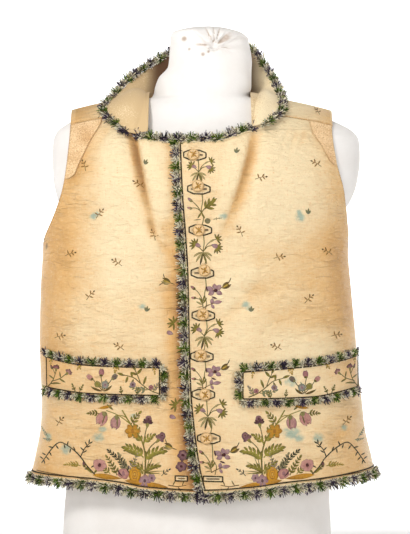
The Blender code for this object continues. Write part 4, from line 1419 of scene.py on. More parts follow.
def collar_cloth(silk, lining):
    """The collar's silk, and its pebbly lining turned in at the neck."""
    places = np.linspace(0, COLLAR_LAST, COLLAR_PLACES)
    points = np.array([collar_points(places, share) for share in np.linspace(0, 1, COLLAR_SHARES)])
    wear = silk_tone_and_shade(points)
    outer = sheet_piece("collar_silk", points, wear, silk, cloth_uv(points), face=CLOTH)
    lift = np.linspace(1, 0, COLLAR_SHARES)[:, None] * 0.2 * rumple(points, 34, 21)
    pebbled = points + collar_lift(places)[None] * (lift + np.abs(lift).max())[..., None] * 0.5
    pebbled = np.concatenate([collar_turning(places, TURNING_ROWS), pebbled])
    across, depth, height = np.moveaxis(pebbled, -1, 0)
    wear = no_wear(pebbled)
    # painted light and shade: the lining is lighter on the wearer's left and darker on the right (this line and the
    # ones below)
    wear[..., 0] = 0.2 * rumple(pebbled, 40, 22) - 0.5 * soft(across / 40)
    from_turn = np.linspace(1.3, 0, TURNING_ROWS + COLLAR_SHARES)
    # darker towards the turned-in edge at the neck
    wear[..., 0] += 0.9 * clamp(from_turn)[:, None] ** 4
    wear[..., 0] += 0.8 * soft(-across / 60)
    # painted shade: dark brown over the lining behind the neck, and along the top of the turned-in part beside it
    wear[..., 2] = 0.6 * soft((92 - np.abs(across)) / 26) * soft(depth / 30)
    wear[..., 2] += 0.3 * soft((height - 682) / 18) * soft((96 - np.abs(across)) / 12)
    inner = sheet_piece("collar_lining_cloth", pebbled, wear, lining, cloth_uv(pebbled),
                        thickness=LINING, face=CLOTH + SEAM_GAP + LINING)
    return outer, inner


def facing_arcs(side, high, count):
    """From a facing's lower corner up to an arc: the arcs and their heights on its middle."""
    arcs = np.linspace(float(arc_of(side * 190, FACINGS[side][0][0])), high, count)
    return arcs, bare(angle_of(side * 170, CHEST + 1), arcs)[:, 2]


def facing_cloth(side, word, material):
    """The coarse facing beside an armhole."""
    rows, columns = FACING_GRID
    arcs, heights = facing_arcs(side, FRONT_SEAM - SEAM_GAP, rows)
    inner = Lookup(FACINGS[side])(heights)
    outer = armhole[side](heights) - EDGE_INSET
    angles = angle_of(side * np.linspace(inner, outer, columns, axis=-1), CHEST + 1)
    arcs = arcs[:, None] * np.ones_like(angles)
    points = cloth(angles, arcs, PATCH + LYING_GAP)
    points = points + outward(angles, arcs) * (0.25 * rumple(points, 16, 31))[..., None]
    wear = no_wear(points)
    wear[..., 0] = 0.3 * rumple(points, 30, 33)
    edge = np.linspace(0, 1, columns)[None]
    wear[..., 2] = 0.25 * bump(1 - edge, 0.05)
    return sheet_piece(f"armhole_facing_{word}_cloth", points, wear, material, cloth_uv(points),
                       side < 0, PATCH)


flap_edges = {side: Lookup(FLAPS[side]) for side, _word in SIDES}


def flap_rise(side, x, z):
    """How far a pocket flap is puckered out at a place."""
    high, low = np.moveaxis(flap_edges[side](x), -1, 0)
    share = clamp((z - low) / (high - low))
    flat = np.stack([x, 0 * x, z], -1)
    return 0.45 * np.sin(share * math.pi) * (0.7 + rumple(flat, 22, 41))


def flap_cloth(side, word, material):
    """A pocket flap, lying on its front."""
    rows, columns = FLAP_GRID
    height = FLAPS[side][0][2]
    first, last = (float(angle_of(FLAPS[side][end][0], height)) for end in (0, -1))
    x = bare(np.linspace(first, last, columns), height - CHEST)[:, 0]
    tops, bottoms = flap_edges[side](x).T
    part = np.linspace(0, 1, rows)[:, None]
    heights = mix(tops, bottoms, part)
    across = x[None] * np.ones_like(heights)
    points = on_front(side, across, heights, FLAP_FACE + flap_rise(side, across, heights))
    wear = silk_tone_and_shade(points)
    wear[..., 0] += 0.12
    return sheet_piece(f"pocket_flap_{word}_silk", points, wear, material, cloth_uv(points), True)


# ---------------------------------------------------------------- trimmings

def laid_line(side, line, lift, out=(0.0, 0.0)):
    """A line on a front, from (x, height) points: points, rise and which way is out."""
    line = np.asarray(line, float)
    x, z = line.T
    points = on_front(side, x, z, lift)
    away = on_front(side, *(line + np.asarray(out)).T, lift) - points
    return points, outward(angle_of(x, z), arc_of(x, z)), unit(away)


def round_line(side, angles, arcs, lift, out):
    """A line right round the body, from angles and arcs; out is a step in arc."""
    drop = under_drop(bare(angles, arcs)[:, 0]) if side < 0 else 0.0
    points = cloth(angles, arcs, lift + drop)
    away = cloth(angles, arcs + out, lift + drop) - points
    return points, outward(angles, arcs), unit(away)


def even_line(points, spacing):
    """Points spaced evenly along a line in a plane."""
    points = np.asarray(points, float)
    length = run_lengths(points)
    spots = np.linspace(0, length[-1], max(2, int(length[-1] / spacing) + 1))
    return np.stack([np.interp(spots, length, column) for column in points.T], -1)


def smooth_line(points, spacing):
    """A smooth line through points in a plane."""
    points = np.asarray(points, float)
    keys = np.arange(len(points), dtype=float)
    curve = Lookup(np.column_stack([keys, points]))
    fine = curve(np.linspace(0, keys[-1], len(points) * 12))
    return even_line(fine, spacing)


CENTRE_HEM = float(hem_front(0))
CENTRE_TOP = 628
NECK_CORNER = float(centre_edge(640))
STITCH_RISE = 0.25
# how far out the stitches across a flap's outer end lie, at its top and its bottom
FLAP_END = (228.6, 227.8)
TUFT_FAN = 2.5              # how far round a tuft's strands spread, in radians each way
TUFT_CURL = 0.13            # how far a strand's tip wanders, as a share of its reach


def front_edge(low, high, inset, count=200):
    """Points up the left front's edge, from above the hem to above the top, inside the edge."""
    heights = np.linspace(CENTRE_HEM + low, CENTRE_TOP + high, count)
    return np.stack([centre_edge(heights) + inset, heights], -1)


def hem_line(side, reach, lift, count=150):
    """A line along a front's hem, a distance below it."""
    first = float(angle_of(float(centre_edge(CENTRE_HEM)) + (0 if side > 0 else 20), UNDERARM))
    angles = np.linspace(first, side * (SIDE_SEAM - SIDE_GAP), count)
    x = bare(angles, CENTRE_HEM - CHEST)[:, 0]
    return round_line(side, angles, hem_front(x) - CHEST - reach, lift, -1.0)


def neck_line(side, reach, lift, count=40):
    """A line along a front's neckline, a distance above it."""
    low, high = ((5 - collar_end[-1], NECK_CORNER - 1) if side < 0 else
                 (NECK_CORNER, collar_end[1] - 1))
    x = np.linspace(low, high, count)
    arcs = arc_of(x, neckline[side](x)) + reach
    return round_line(side, angle_of(x, height_at(x, arcs)), arcs, lift, 1.0)


def flap_outline(side, reach, spacing=2.0):
    """Round a flap's top, inner end and bottom, a distance outside it: points and directions."""
    inner, outer = (FLAPS[side][end][0] for end in ((0, -1) if side > 0 else (-1, 0)))
    x = np.linspace(outer, inner, 40)
    tops, bottoms = flap_edges[side](x).T
    corner = 4.5
    top = np.stack([x, tops], -1)
    bottom = np.stack([x, bottoms], -1)[::-1]
    sweep = np.radians((0, 30, 60, 90))
    turn = np.stack([side * (corner - corner * np.sin(sweep)), corner * np.cos(sweep) - corner], -1)
    top_turn, low_turn = top[-1] + turn, bottom[0] + turn[::-1] * (1, -1)
    ring = np.concatenate([top[np.abs(top[:, 0] - inner) > corner + 1], top_turn, low_turn,
                           bottom[np.abs(bottom[:, 0] - inner) > corner + 1]])
    line = even_line(ring, spacing)
    run = unit(np.gradient(line, axis=0))
    for _pass in range(3):
        run[1:-1] = unit(run[:-2] + run[1:-1] * 2 + run[2:])
    out = np.stack([run[:, 1], -run[:, 0]], -1) * side
    out = out * np.sign((out[0] @ (0, 1.0)) or 1.0)
    return line + out * reach, out


def fringe_lines():
    """Each fringe's line: where its tufts are knotted, and which way they hang."""
    places = np.linspace(0, COLLAR_LAST, 300)
    inner = collar_points(places, 1.0)
    outer = collar_points(places, 1 + FRINGE_REACH)
    lift = collar_lift(places)
    lines = {"collar": (inner + lift * FRINGE_THICK * 0.45, lift, unit(outer - inner))}
    for side, word in SIDES:
        lines["neck_" + word] = neck_line(side, 0.4, 0.4)
        lines["hem_" + word] = [part[:-3] for part in hem_line(side, 0.9, 0.4)]
        line, out = flap_outline(side, -0.8)
        lines["pocket_" + word] = laid_line(side, line, FLAP_FACE, out)
    edge = front_edge(1, 0, -0.2, 160)
    points, rise, _out = laid_line(1, edge, -0.7)
    beyond = on_front(1, edge[:, 0] - 1, edge[:, 1], -0.82)
    lines["centre_front"] = (points, rise, unit(beyond - points))
    return lines


def fringe_piece(name, line, reach, trim, material, tree, seed):
    piece = path_piece(f"{name}_tufts", [line], material)
    return shape_with(piece, tree, {
        "Pitch": trim.pitch, "Strands": trim.strands, "Reach": reach * MM, "Spread": TUFT_FAN,
        "Thickness": trim.strand, "Curl": reach * TUFT_CURL * MM, "Seed": seed,
        "Material": material})


def stitched(name, lines, material, tree, pitch, length, width, slant, closed=False):
    """Stitches along lines of (points, rise)."""
    paths = [(points, rise, rise) for points, rise in lines]
    piece = path_piece(name, paths, material, closed)
    return shape_with(piece, tree, {"Pitch": pitch * MM, "Length": length * MM, "Width": width * MM,
                                    "Slant": slant, "Seed": 1, "Material": material})


def piping_lines(side):
    """The cream cord along a front's edges: points, rise and its radius."""
    cords = [(*hem_line(side, 0.3, -0.2, 190)[:2], 1.5)]
    if side > 0:
        cords.append((*laid_line(1, front_edge(0, 1, 0.1), -0.3)[:2], 0.9))
    cords.append((*neck_line(side, 0.1, -0.1, 60)[:2], 1.3))
    return cords


def stem_lines(side):
    """Dark stem stitch just inside the hem and the front edge, and round the pocket flap."""
    lines = [hem_line(side, -3.9, STITCH_RISE, 200)[:2]]
    if side > 0:
        lines.append(laid_line(1, front_edge(4, -2, 2.2), STITCH_RISE)[:2])
    flap, _out = flap_outline(side, -2.6)
    across = np.interp(np.linspace(0, 1, 24), (0, 1), FLAP_END) * side
    end = np.stack([across, np.linspace(flap[0][1], flap[-1][1], 24)], -1)
    return lines + [laid_line(side, line, FLAP_FACE + STITCH_RISE)[:2] for line in (end, flap)]


def armhole_line(side, inset, lift):
    """Up a front's armhole edge, a distance inside it."""
    heights = np.linspace(UNDERARM + 3, 700, 300)
    x = side * (armhole[side](heights) - inset)
    keep = (arc_of(x, heights) < FRONT_SEAM) & (heights < ridge_height(x) - 4)
    return laid_line(side, np.stack([x[keep], heights[keep]], -1), lift)[:2]


def facing_line(side, inset, lift):
    """Along a facing's inner edge, up the shoulder."""
    arcs, heights = facing_arcs(side, FRONT_SEAM, 90)
    angles = angle_of(side * (Lookup(FACINGS[side])(heights) + inset), CHEST + 1)
    return cloth(angles, arcs, lift), outward(angles, arcs)


def seam_line(side, arc, lift):
    """Across the shoulder at an arc."""
    start = float(angle_of(side * neck_curve[side](arc), CHEST + 1))
    angles = np.linspace(start, shoulder_tip_angle(side), 90)
    return cloth(angles, arc, lift), outward(angles, arc)


# ---------------------------------------------------------------- needlework

# how high the needlework's underside lies over the fronts' silk, and over the shoulder strips'
SEWN_RISE = 0.05
STRIP_RISE = 1.3
# the left front's sprays are the right one's at this distance less theirs
MIRROR = 1.6
# a leaf over this width is outlined: by how much more on each side, and how much lower
OUTLINED = 1.7
OUTLINE_MARGIN = 0.42
OUTLINE_DROP = 0.16
# the vine's motifs are drawn for holes this far apart, and grow no more than this
VINE_PITCH = 52
VINE_GROWTH = 1.1
# each thread's colour, and the thread that outlines it
THREADS, OUTLINE = {}, {}
for _row in """
olive 96 84 26 dark; moss 142 130 44 olive; sage 132 124 74 olive; dark 46 38 18; fern 58 58 32
mustard 206 146 28 umber; gold 214 168 70 brown; ochre 168 114 32 umber; brown 140 94 46
mauve 150 104 108 maroon; pink 202 152 138 mauve; rose 170 108 104 maroon
lilac 172 144 146 plum; maroon 70 18 28; grey 122 114 92 fern; teal 112 130 108; umber 98 66 24
slate 104 112 96; lime 160 150 54 olive; bark 112 82 24; straw 196 172 116 sage
cream 240 222 184; plum 84 54 62 maroon
""".strip().replace(";", "\n").splitlines():
    _name, *_colour = _row.split()
    THREADS[_name] = np.array(linear(*map(int, _colour[:3]))[:3])
    OUTLINE[_name] = _colour[3] if _colour[3:] else None


def triangles(quads):
    """Each four-sided face as two triangles: all the first halves, then all the second."""
    return np.concatenate([quads[:, [0, 1, 2]], quads[:, [0, 2, 3]]])


class Needlework:
    """Satin-stitched shapes in the flat of the cloth, each a low closed ridge of thread."""

    SECTION = np.array([(-1.0, -0.14), (-0.5, 0.34), (0.5, 0.34), (1.0, -0.14)])

    def __init__(self):
        self.points, self.faces, self.colours, self.uvs, self.sides = [], [], [], [], []
        self.count = 0

    def ribbon(self, path, widths, start, end, side, base):
        """A shape along a path of (x, height), from its half widths and its end colours."""
        path = np.asarray(path, float)
        run = unit(np.gradient(path, axis=0))
        across = np.stack([run[:, 1], -run[:, 0]], -1)
        widths = np.maximum(widths, 0.06)[:, None]
        section = self.SECTION
        flat = path[:, None] + across[:, None] * (widths * section[:, 0])[..., None]
        thick = np.minimum(1.0, 0.35 + widths * 0.55)
        lift = base + section[None, :, 1] * thick
        rows, columns = len(path), len(section)
        last = (rows - 1) * columns
        faces = np.concatenate([triangles(grid_faces(rows, columns, closed=True)),
                                [(0, 2, 1), (0, 3, 2)],
                                [(last, last + 1, last + 2), (last, last + 2, last + 3)]])
        length = run_lengths(path)
        share = (length / max(length[-1], 1e-6))[:, None, None]
        colour = mix(THREADS[start], THREADS[end], share)
        uv = np.stack(np.broadcast_arrays(length[:, None], widths * section[:, 0]), -1) * MM
        self.points.append(np.concatenate([flat, lift[..., None]], -1).reshape(-1, 3))
        self.faces.append(faces + self.count)
        self.colours.append(np.broadcast_to(colour, (rows, columns, 3)).reshape(-1, 3))
        self.uvs.append(uv.reshape(-1, 2))
        self.sides.append(np.full(rows * columns, side))
        self.count += rows * columns

    def arrays(self):
        return [np.concatenate(item) for item in (self.points, self.faces, self.colours, self.uvs,
                                                  self.sides)]


class Needle:
    """Draws with thread from a place: headings are in degrees from straight up."""

    def __init__(self, work, x, z, turn=0.0, size=1.0, flip=1, side=1, base=0.0, seed=1):
        self.work, self.spot = work, np.array((x, z), float)
        self.turn, self.size, self.flip, self.side, self.base = turn, size, flip, side, base
        self.dice = random.Random(seed)

    def at(self, points):
        points = np.atleast_2d(np.asarray(points, float)) * self.size
        turn = math.radians(self.turn)
        a, b = points[:, 0], points[:, 1]
        x = a * math.cos(turn) + b * math.sin(turn)
        z = b * math.cos(turn) - a * math.sin(turn)
        return self.spot + np.stack([x * self.flip, z], -1)

    def go(self, a, b, turn=0.0, size=1.0):
        """A needle further on, facing another way."""
        x, z = self.at((a, b))[0]
        return Needle(self.work, x, z, self.turn + turn, self.size * size, self.flip, self.side,
                      self.base, self.dice.random())

    def shape(self, path, widths, start, end=None, raised=0.0):
        path = self.at(path)
        if self.flip < 0:
            path, widths, start, end = path[::-1], widths[::-1], end or start, start
        self.work.ribbon(path, np.asarray(widths) * self.size, start, end or start, self.side,
                         self.base + raised)

    def leaf(self, heading, length, width, start, end=None, bend=0.0, peak=0.5, away=0.0,
             count=6, raised=0.0):
        """A pointed leaf or petal growing from here."""
        part = np.linspace(0, 1, count)
        way = np.radians(heading) + np.radians(bend) * part
        steps_on = np.stack([np.sin(way), np.cos(way)], -1) * length / (count - 1)
        path = np.concatenate([[[0, 0]], np.cumsum((steps_on[:-1] + steps_on[1:]) / 2, 0)])
        path += away * np.array([math.sin(way[0]), math.cos(way[0])])
        widths = width / 2 * np.sin(math.pi * part ** (math.log(0.5) / math.log(peak))) ** 0.75
        self.shape(path, widths, start, end, raised)
        if width > OUTLINED and OUTLINE[start]:
            self.shape(path, widths + OUTLINE_MARGIN, OUTLINE[start], raised=raised - OUTLINE_DROP)

    def stem(self, points, width=0.9, colour="olive", end=None):
        width = width * 1.35 + 0.15
        line = smooth_line(points, 2.2)
        taper = np.linspace(1.0, 0.75, len(line)) * width / 2
        self.shape(line, taper, colour, end)

    def disc(self, radius, start, end=None, raised=0.1, squash=1.0):
        part = np.linspace(0, 1, 7)
        path = np.stack([0 * part, (part - 0.5) * 2 * radius], -1)
        self.shape(path, radius * squash * np.sqrt(np.maximum(0, 1 - (2 * part - 1) ** 2)) + 0.05,
                   start, end, raised)

    def flower(self, radius, petals, start, end, centre, core=0.32, opening=360.0, fat=1.1):
        """Petals round a centre."""
        for index in range(petals):
            heading = opening * (index + 0.5) / petals - opening / 2 + self.dice.uniform(-7, 7)
            width = fat * 2 * radius * math.sin(math.radians(min(opening / petals, 120)) / 2)
            self.leaf(heading, radius * self.dice.uniform(0.88, 1.08), width, start, end,
                      peak=0.6, raised=self.dice.uniform(0, 0.12))
        if centre:
            self.disc(radius * core, centre, centre, 0.22)

    def star(self, radius, colour="moss", end="olive", points=5, opening=200.0):
        for index in range(points):
            heading = opening * (index + 0.5) / points - opening / 2
            self.leaf(heading + self.dice.uniform(-6, 6), radius, radius * 0.3, colour, end)

    def tulip(self, length, start, end, calyx="moss", open_out=20):
        self.leaf(-open_out, length, length * 0.5, start, end, bend=open_out * 1.3)
        self.leaf(open_out, length, length * 0.5, start, end, bend=-open_out * 1.3)
        self.leaf(0, length * 0.92, length * 0.42, end, start, raised=0.15)
        self.leaf(0, length * 0.34, length * 0.42, calyx, calyx, raised=0.22)

    def carnation(self, length, start="mauve", end="plum", calyx="sage"):
        self.leaf(0, length * 0.62, length * 0.36, calyx, "moss", peak=0.6)
        head = self.go(0, length * 0.45)
        for heading in (-72, -44, -15, 15, 44, 72):
            head.leaf(heading, length * 0.5 * self.dice.uniform(0.85, 1.1), length * 0.26, start,
                      end, peak=0.62, raised=0.12)

    def bud(self, length, start="pink", end="mauve", calyx="moss"):
        self.leaf(0, length, length * 0.55, start, end)
        self.leaf(-16, length * 0.55, length * 0.26, calyx, calyx, raised=0.12)
        self.leaf(16, length * 0.55, length * 0.26, calyx, calyx, raised=0.12)

    def bell(self, length, start="lilac", end="mauve"):
        for heading, bend in ((-24, 30), (0, 0), (24, -30)):
            self.leaf(heading, length, length * 0.36, start, end, bend=bend, peak=0.6,
                      raised=0.1 if heading == 0 else 0)

    def frond(self, length, pairs, leaf, colour="olive", end="moss", bend=25.0, spread=58.0,
              stem=0.7, width=0.34, taper=0.55):
        """A bent stem with leaflets in pairs and one at its tip."""
        part = np.linspace(0, 1, 9)
        way = np.radians(bend) * part
        path = np.cumsum(np.stack([np.sin(way), np.cos(way)], -1) * length / 9, 0)
        path = np.concatenate([[[0, 0]], path])
        self.stem(path, stem, colour)
        for index in range(pairs):
            share = (index + 0.8) / (pairs + 0.3)
            spot = [np.interp(share, np.linspace(0, 1, 10), column) for column in path.T]
            heading = bend * share
            reach = leaf * (1 - taper * share)
            for way_out in (-1, 1):
                self.go(*spot).leaf(heading + way_out * spread * self.dice.uniform(0.85, 1.12),
                                    reach * self.dice.uniform(0.85, 1.1), reach * width, colour,
                                    end, bend=-way_out * 18)
        self.go(*path[-1]).leaf(bend, leaf * 0.7, leaf * width, colour, end)

    def grass(self, blades, length, opening=70.0, lean=0.0, colour="moss", end="olive", width=0.9):
        for index in range(blades):
            heading = lean + opening * ((index + 0.5) / blades - 0.5)
            self.leaf(heading, length * self.dice.uniform(0.75, 1.1), width, colour, end,
                      bend=self.dice.uniform(-22, 22), peak=0.4, count=7)


def cell(word):
    """A word of a drawing as a number, if it is one."""
    for kind in (int, float):
        try:
            return kind(word)
        except ValueError:
            pass
    return None if word == "none" else word


def alike(kind, measures, places):
    """Rows for the same shape at many places."""
    spots = places.strip().replace(";", "\n").splitlines()
    return "".join(f"{kind} {spot} | {measures}\n" for spot in spots)


def stem_through(start, points, *measures):
    x, z = points[0]
    start(x, z).stem([(across - x, high - z) for across, high in points], *measures)


def draw(rows, start):
    """Draw rows of shapes. Start gives a needle at a place, facing a heading.

    A row is a kind, its place and heading (a line has all its points instead), then a bar and
    what the Needle's method of that name is given. A leaf grows straight on from its heading.
    """
    for row in rows.strip().splitlines():
        kind, *words = map(cell, row.split())
        bar = words.index("|")
        place_on, measures = words[:bar], words[bar + 1:]
        if kind == "line":
            stem_through(start, list(zip(place_on[::2], place_on[1::2])), *measures)
        elif kind == "leaf":
            start(*place_on).leaf(0, *measures)
        else:
            getattr(start(*place_on), kind)(*measures)


VINE_STARS = """
line 0 0 -5 5 -12 9 | 0.9
line 0 0 7 7 14 8 19 3 | 0.9
line 1 1 6 10 14 15 20 17 | 0.8
star -10 9 -56 | 8.6 moss olive 6
star 18 5 128 | 8.2 moss olive 6
star 18 16 62 | 7.6 moss olive 5
bell -3 6 -60 | 8.5 lilac mauve
bell 11 9 110 | 9.5 lilac mauve
leaf 8 12 60 | 8 2.6 straw sage
leaf 1 -1 100 | 12 3 straw sage 30
leaf 0 -1 128 | 15 3.2 sage straw 20
leaf 0 -2 158 | 15 2.8 olive moss 8
leaf 0 -2 196 | 16 3.2 olive dark -4
leaf 0 -1 226 | 16 3.2 straw sage -20
leaf -1 -1 258 | 13 3 sage straw -30
"""
VINE_FROND = """
line 0 -4 -5 4 -12 11 | 0.9
line -2 -1 -8 2 -13 2 | 0.8
line 0 -4 6 3 16 10 | 1.1
bud -12 10 -46 | 8 lilac mauve sage
bud -12 1 -76 | 7 pink mauve sage
leaf 3 0 50 | 23 6 olive moss
leaf 5 2 4 | 10 4 moss olive
leaf 9 5 8 | 10 4 olive moss
leaf 14 9 22 | 8 3.2 moss olive
leaf 7 2 96 | 10 4 olive moss
leaf 12 6 92 | 8 3.4 moss olive
leaf 0 -4 150 | 9 2.4 moss olive
leaf 0 -4 212 | 9 2.4 moss olive
flower 8 -15 0 | 3.8 5 grey sage none
leaf -10 -14 84 | 10 1.5 umber sage
frond 16 -13 75 | 9 2 3.2 sage grey 10
"""
VINE_PANSIES = """
line -2 -18 -3 -8 -8 2 -13 7 | 0.9
line -3 -8 -8 -6 -12 -5 | 0.8
line -2 -18 8 -13 16 -11 | 0.9 umber
line 20 8 25 10 | 0.9
leaf 12 4 -62 | 11 8 mauve lilac 10
leaf 13 3 -112 | 9 7 lilac mauve
leaf 14 6 -10 | 8 7 lilac mauve
leaf 15 6 50 | 9 7.6 mauve lilac
leaf 15 4 118 | 9 7 lilac mauve
disc 14.5 5 0 | 2.5 maroon maroon 0.5
leaf 2 11 168 | 8 2.4 maroon plum 0 0.5 0 6 0.4
leaf 9 -3 112 | 8 2.4 maroon plum 0 0.5 0 6 0.4
leaf 11 -11 84 | 12 6 lilac mauve
leaf 9 -13 10 | 8 5.6 mauve lilac
leaf 9 -13 150 | 7 4.4 lilac mauve
leaf 23 9 36 | 12 4.4 olive umber 36
leaf 23 8 84 | 13 4.6 olive umber -34
leaf 24 9 60 | 9 4 gold moss
leaf 31 15 42 | 8 1.5 umber dark -30
bud -12 6 -52 | 8 rose mauve olive
bud -11 -5 -84 | 7 pink rose olive
leaf -2 -14 -64 | 10 2.6 straw sage
leaf -2 -13 -28 | 10 2.6 olive moss
leaf -2 -12 34 | 9 2.6 moss olive
leaf -2 -16 -98 | 9 1.6 umber straw
leaf -2 -9 14 | 8 2.4 moss olive
"""
SPRIG = """
line -6.5 -5 -1 0 6.5 4.5 | 0.7 bark ochre
leaf -2 -1 -38 | 7 2.2 bark ochre
leaf -1 0 128 | 7 2.2 bark ochre
leaf 2 2 8 | 6 2.2 ochre bark
leaf 3 2.5 112 | 5.2 2.1 bark ochre
leaf 6 4 54 | 4 2.8 bark umber
"""
GREY_SPRIG = """
leaf 0 -3 -20 | 8 3.6 slate sage
leaf 0 -3 14 | 9 3.6 slate sage
leaf 0 -3 46 | 7 3.6 slate sage
"""
OPEN_TULIP = """
leaf 0 0 -34 | 14 5 straw olive 46
leaf 0 0 34 | 14 5 olive umber -46
leaf 0 0 0 | 12 4.6 gold moss
leaf -4 10 -34 | 7 1.5 umber dark -34
leaf 4 10 34 | 7 1.5 umber dark 34
leaf 0 2 180 | 9 1.5 olive umber
"""
HEM_SPRAY = """
line -84 146 -83 170 -87 192 -95 207 -106 222 -117 240 | 1.9 olive moss
line -86 190 -84 204 -81 217 | 1.2
line -84 172 -77 186 -67 196 | 1.2
line -104 219 -114 227 -126 234 -140 239 | 1.2 moss
line -110 229 -118 232 -127 232 | 1 moss
carnation -81 214 6 | 16 plum maroon
flower -79 228 -30 | 5 5 plum mauve maroon
carnation -68 193 38 | 15 mauve plum
flower -59 204 60 | 5.2 5 mauve plum maroon
flower -102 210 0 | 12.5 6 mustard ochre ochre 0.3 360 0.66
tulip -124 232 194 | 21 pink mauve sage 24
leaf -124 232 180 | 17 1.9 sage olive 0 0.5 0 6 0.4
grass -128 222 190 | 4 7 60 0 sage teal 1.2
tulip -141 237 210 | 23 rose pink sage 24
leaf -141 237 196 | 18 1.9 sage olive 0 0.5 0 6 0.4
grass -151 226 206 | 4 7 60 0 sage teal 1.2
frond -150 234 -78 | 14 3 8 olive moss -20 58 0.8 0.42
frond -104 219 24 | 18 3 10.5 olive lime 20 52 0.9 0.4
leaf -152 242 84 | 22 5.4 mustard ochre -12
leaf -130 240 -50 | 12 3.4 olive moss
frond -86 172 -40 | 27 5 14 lime olive -40 46 1.4 0.4 0.35
frond -84 166 24 | 30 5 14 lime olive 66 46 1.4 0.4 0.35
frond -86 192 32 | 16 3 11 lime olive 30 46 1.3 0.4
frond -87 194 -36 | 14 3 10 lime olive -30 46 1.3 0.4
frond -84 152 44 | 18 3 12 moss olive 40 40 1.3 0.4
frond -84 152 -44 | 20 3 11 moss olive -20 46 1.3 0.4
frond -92 206 -16 | 12 2 9 lime olive -20 50 1.2 0.42
grass -84 150 36 | 8 28 84 24 olive moss 1.5
grass -86 148 -20 | 4 20 60 -10 moss sage 1.4
frond -60 146 40 | 13 2 7 fern dark 20 50
frond -106 150 -36 | 42 8 8.2 fern dark -16 46 1 0.4 0.3
frond -112 152 -12 | 24 5 8.5 grey sage -18 52 0.8 0.42
frond -104 150 10 | 26 5 8 sage lilac 16 52 0.8 0.42
frond -124 146 -24 | 28 5 9 olive moss -12 52 1.1 0.42
frond -134 148 -44 | 18 4 7.5 moss olive -20 52 1 0.4
flower -149.5 160 0 | 10.2 7 rose pink maroon 0.32 360 1.2
flower -115 149 0 | 8.6 7 pink rose mauve 0.42 360 1.3
leaf -123 155 168 | 14 2.4 maroon plum -50 0.5 0 6 0.5
flower -84 139 0 | 9.4 7 lilac mauve plum 0.3 360 0.9
flower -74 143 0 | 6.4 6 mauve lilac plum 0.3 360 0.9
disc -98.5 148 0 | 11.5 mustard mustard 0.02 0.86
disc -98.5 148 0 | 8.8 ochre ochre 0.08 0.86
disc -98.5 148 0 | 6.8 mustard mustard 0.12 0.86
disc -98.5 148 0 | 4.4 ochre ochre 0.16 0.86
disc -98.5 148 0 | 2.4 gold gold 0.2 0.86
leaf -160 146 96 | 42 8.5 mustard ochre 0 0.45 0 12
leaf -112 139 98 | 34 8 ochre mustard 0 0.45 0 12
leaf -92 136 99 | 42 8 mustard ochre 0 0.5 0 12
line -156 146 -168 158 -178 171 -191 182 -209 190.5 -222 180 -231 168 -238 158 | 1.5 dark fern
line -178 171 -173 182 -166 190 | 1.2 dark
frond -178 158 -74 | 21 5 8 moss gold -26 46 1 0.34
bud -172 156 -10 | 9 mauve maroon olive
leaf -160 148 -50 | 15 4 moss olive
leaf -158 148 40 | 12 3.6 olive moss
frond -228 197 -50 | 15 4 5 teal grey 14 50 0.7
frond -222 193 -96 | 12 4 4.6 teal grey 14 50 0.7
line -246 146.5 -200 143 -164 138 | 0.8 umber
line -50 133 -36 131 -24 133 | 1 umber
leaf -44 132 30 | 9 1.8 umber olive
leaf -36 131 150 | 8 1.8 umber olive
leaf -30 132 20 | 8 1.8 umber olive
""" + alike("leaf", "7.5 2.3 dark fern", """
-235 164 -66; -231 170 -70; -226 176 150; -220 182 -84; -216 186 140; -235 164 160; -199 186 20
-186 179 -30; -204 188.5 160; -231 168 130; -193 183 190; -168 187 -30; -170 185 70
-173 180 -50; -175 177 60; -166 190 10; -166 190 60; -163 156 60; -165 154 -90; -160 150 -60
""")
FLAP_SPRAYS = """
line -227 270 -217 282 -212 296 | 1.1
line -220 279 -206 284 -196 292 | 1
line -214 290 -219 300 | 0.9
carnation -213 293 4 | 12 rose maroon
carnation -198 289 44 | 12 pink maroon
bud -219 297 -20 | 7 rose maroon olive
leaf -222 275 70 | 17 2.8 olive moss 30
leaf -216 283 -60 | 10 2.4 moss olive
leaf -208 284 120 | 11 2.6 moss olive
leaf -205 285 -10 | 9 2.2 olive moss
line -145 268 -146 282 -148 292 | 1
line -145 268 -154 278 -160 286 | 1
line -144 268 -136 278 -130 286 | 1 fern
leaf -145 267 -82 | 18 4 umber olive 26
leaf -144 267 76 | 16 4 umber olive -40
tulip -147 288 6 | 12 rose mauve olive
tulip -159 283 -48 | 11 rose pink olive
tulip -131 284 44 | 11 plum grey sage
flower -152 277 0 | 5 5 moss sage none
flower -141 276 0 | 6 6 lilac teal mauve
leaf -146 272 -40 | 13 3 moss olive
leaf -146 272 30 | 14 3 sage teal
leaf -146 272 54 | 13 3 moss olive
line -64 264 -78 270 -90 279 -100 287 -114 291 | 1.2
line -90 279 -94 290 -98 298 | 1
leaf -113 290 -70 | 11 4.2 olive moss
leaf -108 289 200 | 10 4 moss olive
leaf -102 287 -10 | 9 3.4 moss olive
leaf -100 285 200 | 11 3.6 olive moss
leaf -97 297 -30 | 9 4 olive moss
leaf -95 292 40 | 11 4.6 moss olive
leaf -95 291 -66 | 10 4 olive moss
leaf -86 277 20 | 13 4 olive moss
leaf -84 274 200 | 10 3 sage teal
frond -80 270 -98 | 22 4 8 sage teal 30 50 1 0.44
frond -72 266 20 | 13 3 7 sage lilac 20 50 0.9 0.44
flower -101 277 0 | 4.6 5 plum lilac maroon
flower -75 273 0 | 3.8 5 rose mauve maroon
""" + alike("frond", "9.5 2 5.4 gold moss 12 46 0.8 0.4", """
-222 314 170; -181 310 150; -176 309 196; -128 306 168; -121 305 200; -72 304 160
""") + alike("frond", "9 2 5.4 olive moss 10 50 0.9 0.44", """
-184 266 -30; -178 265 20; -117 262 -14; -96 261 12
""")


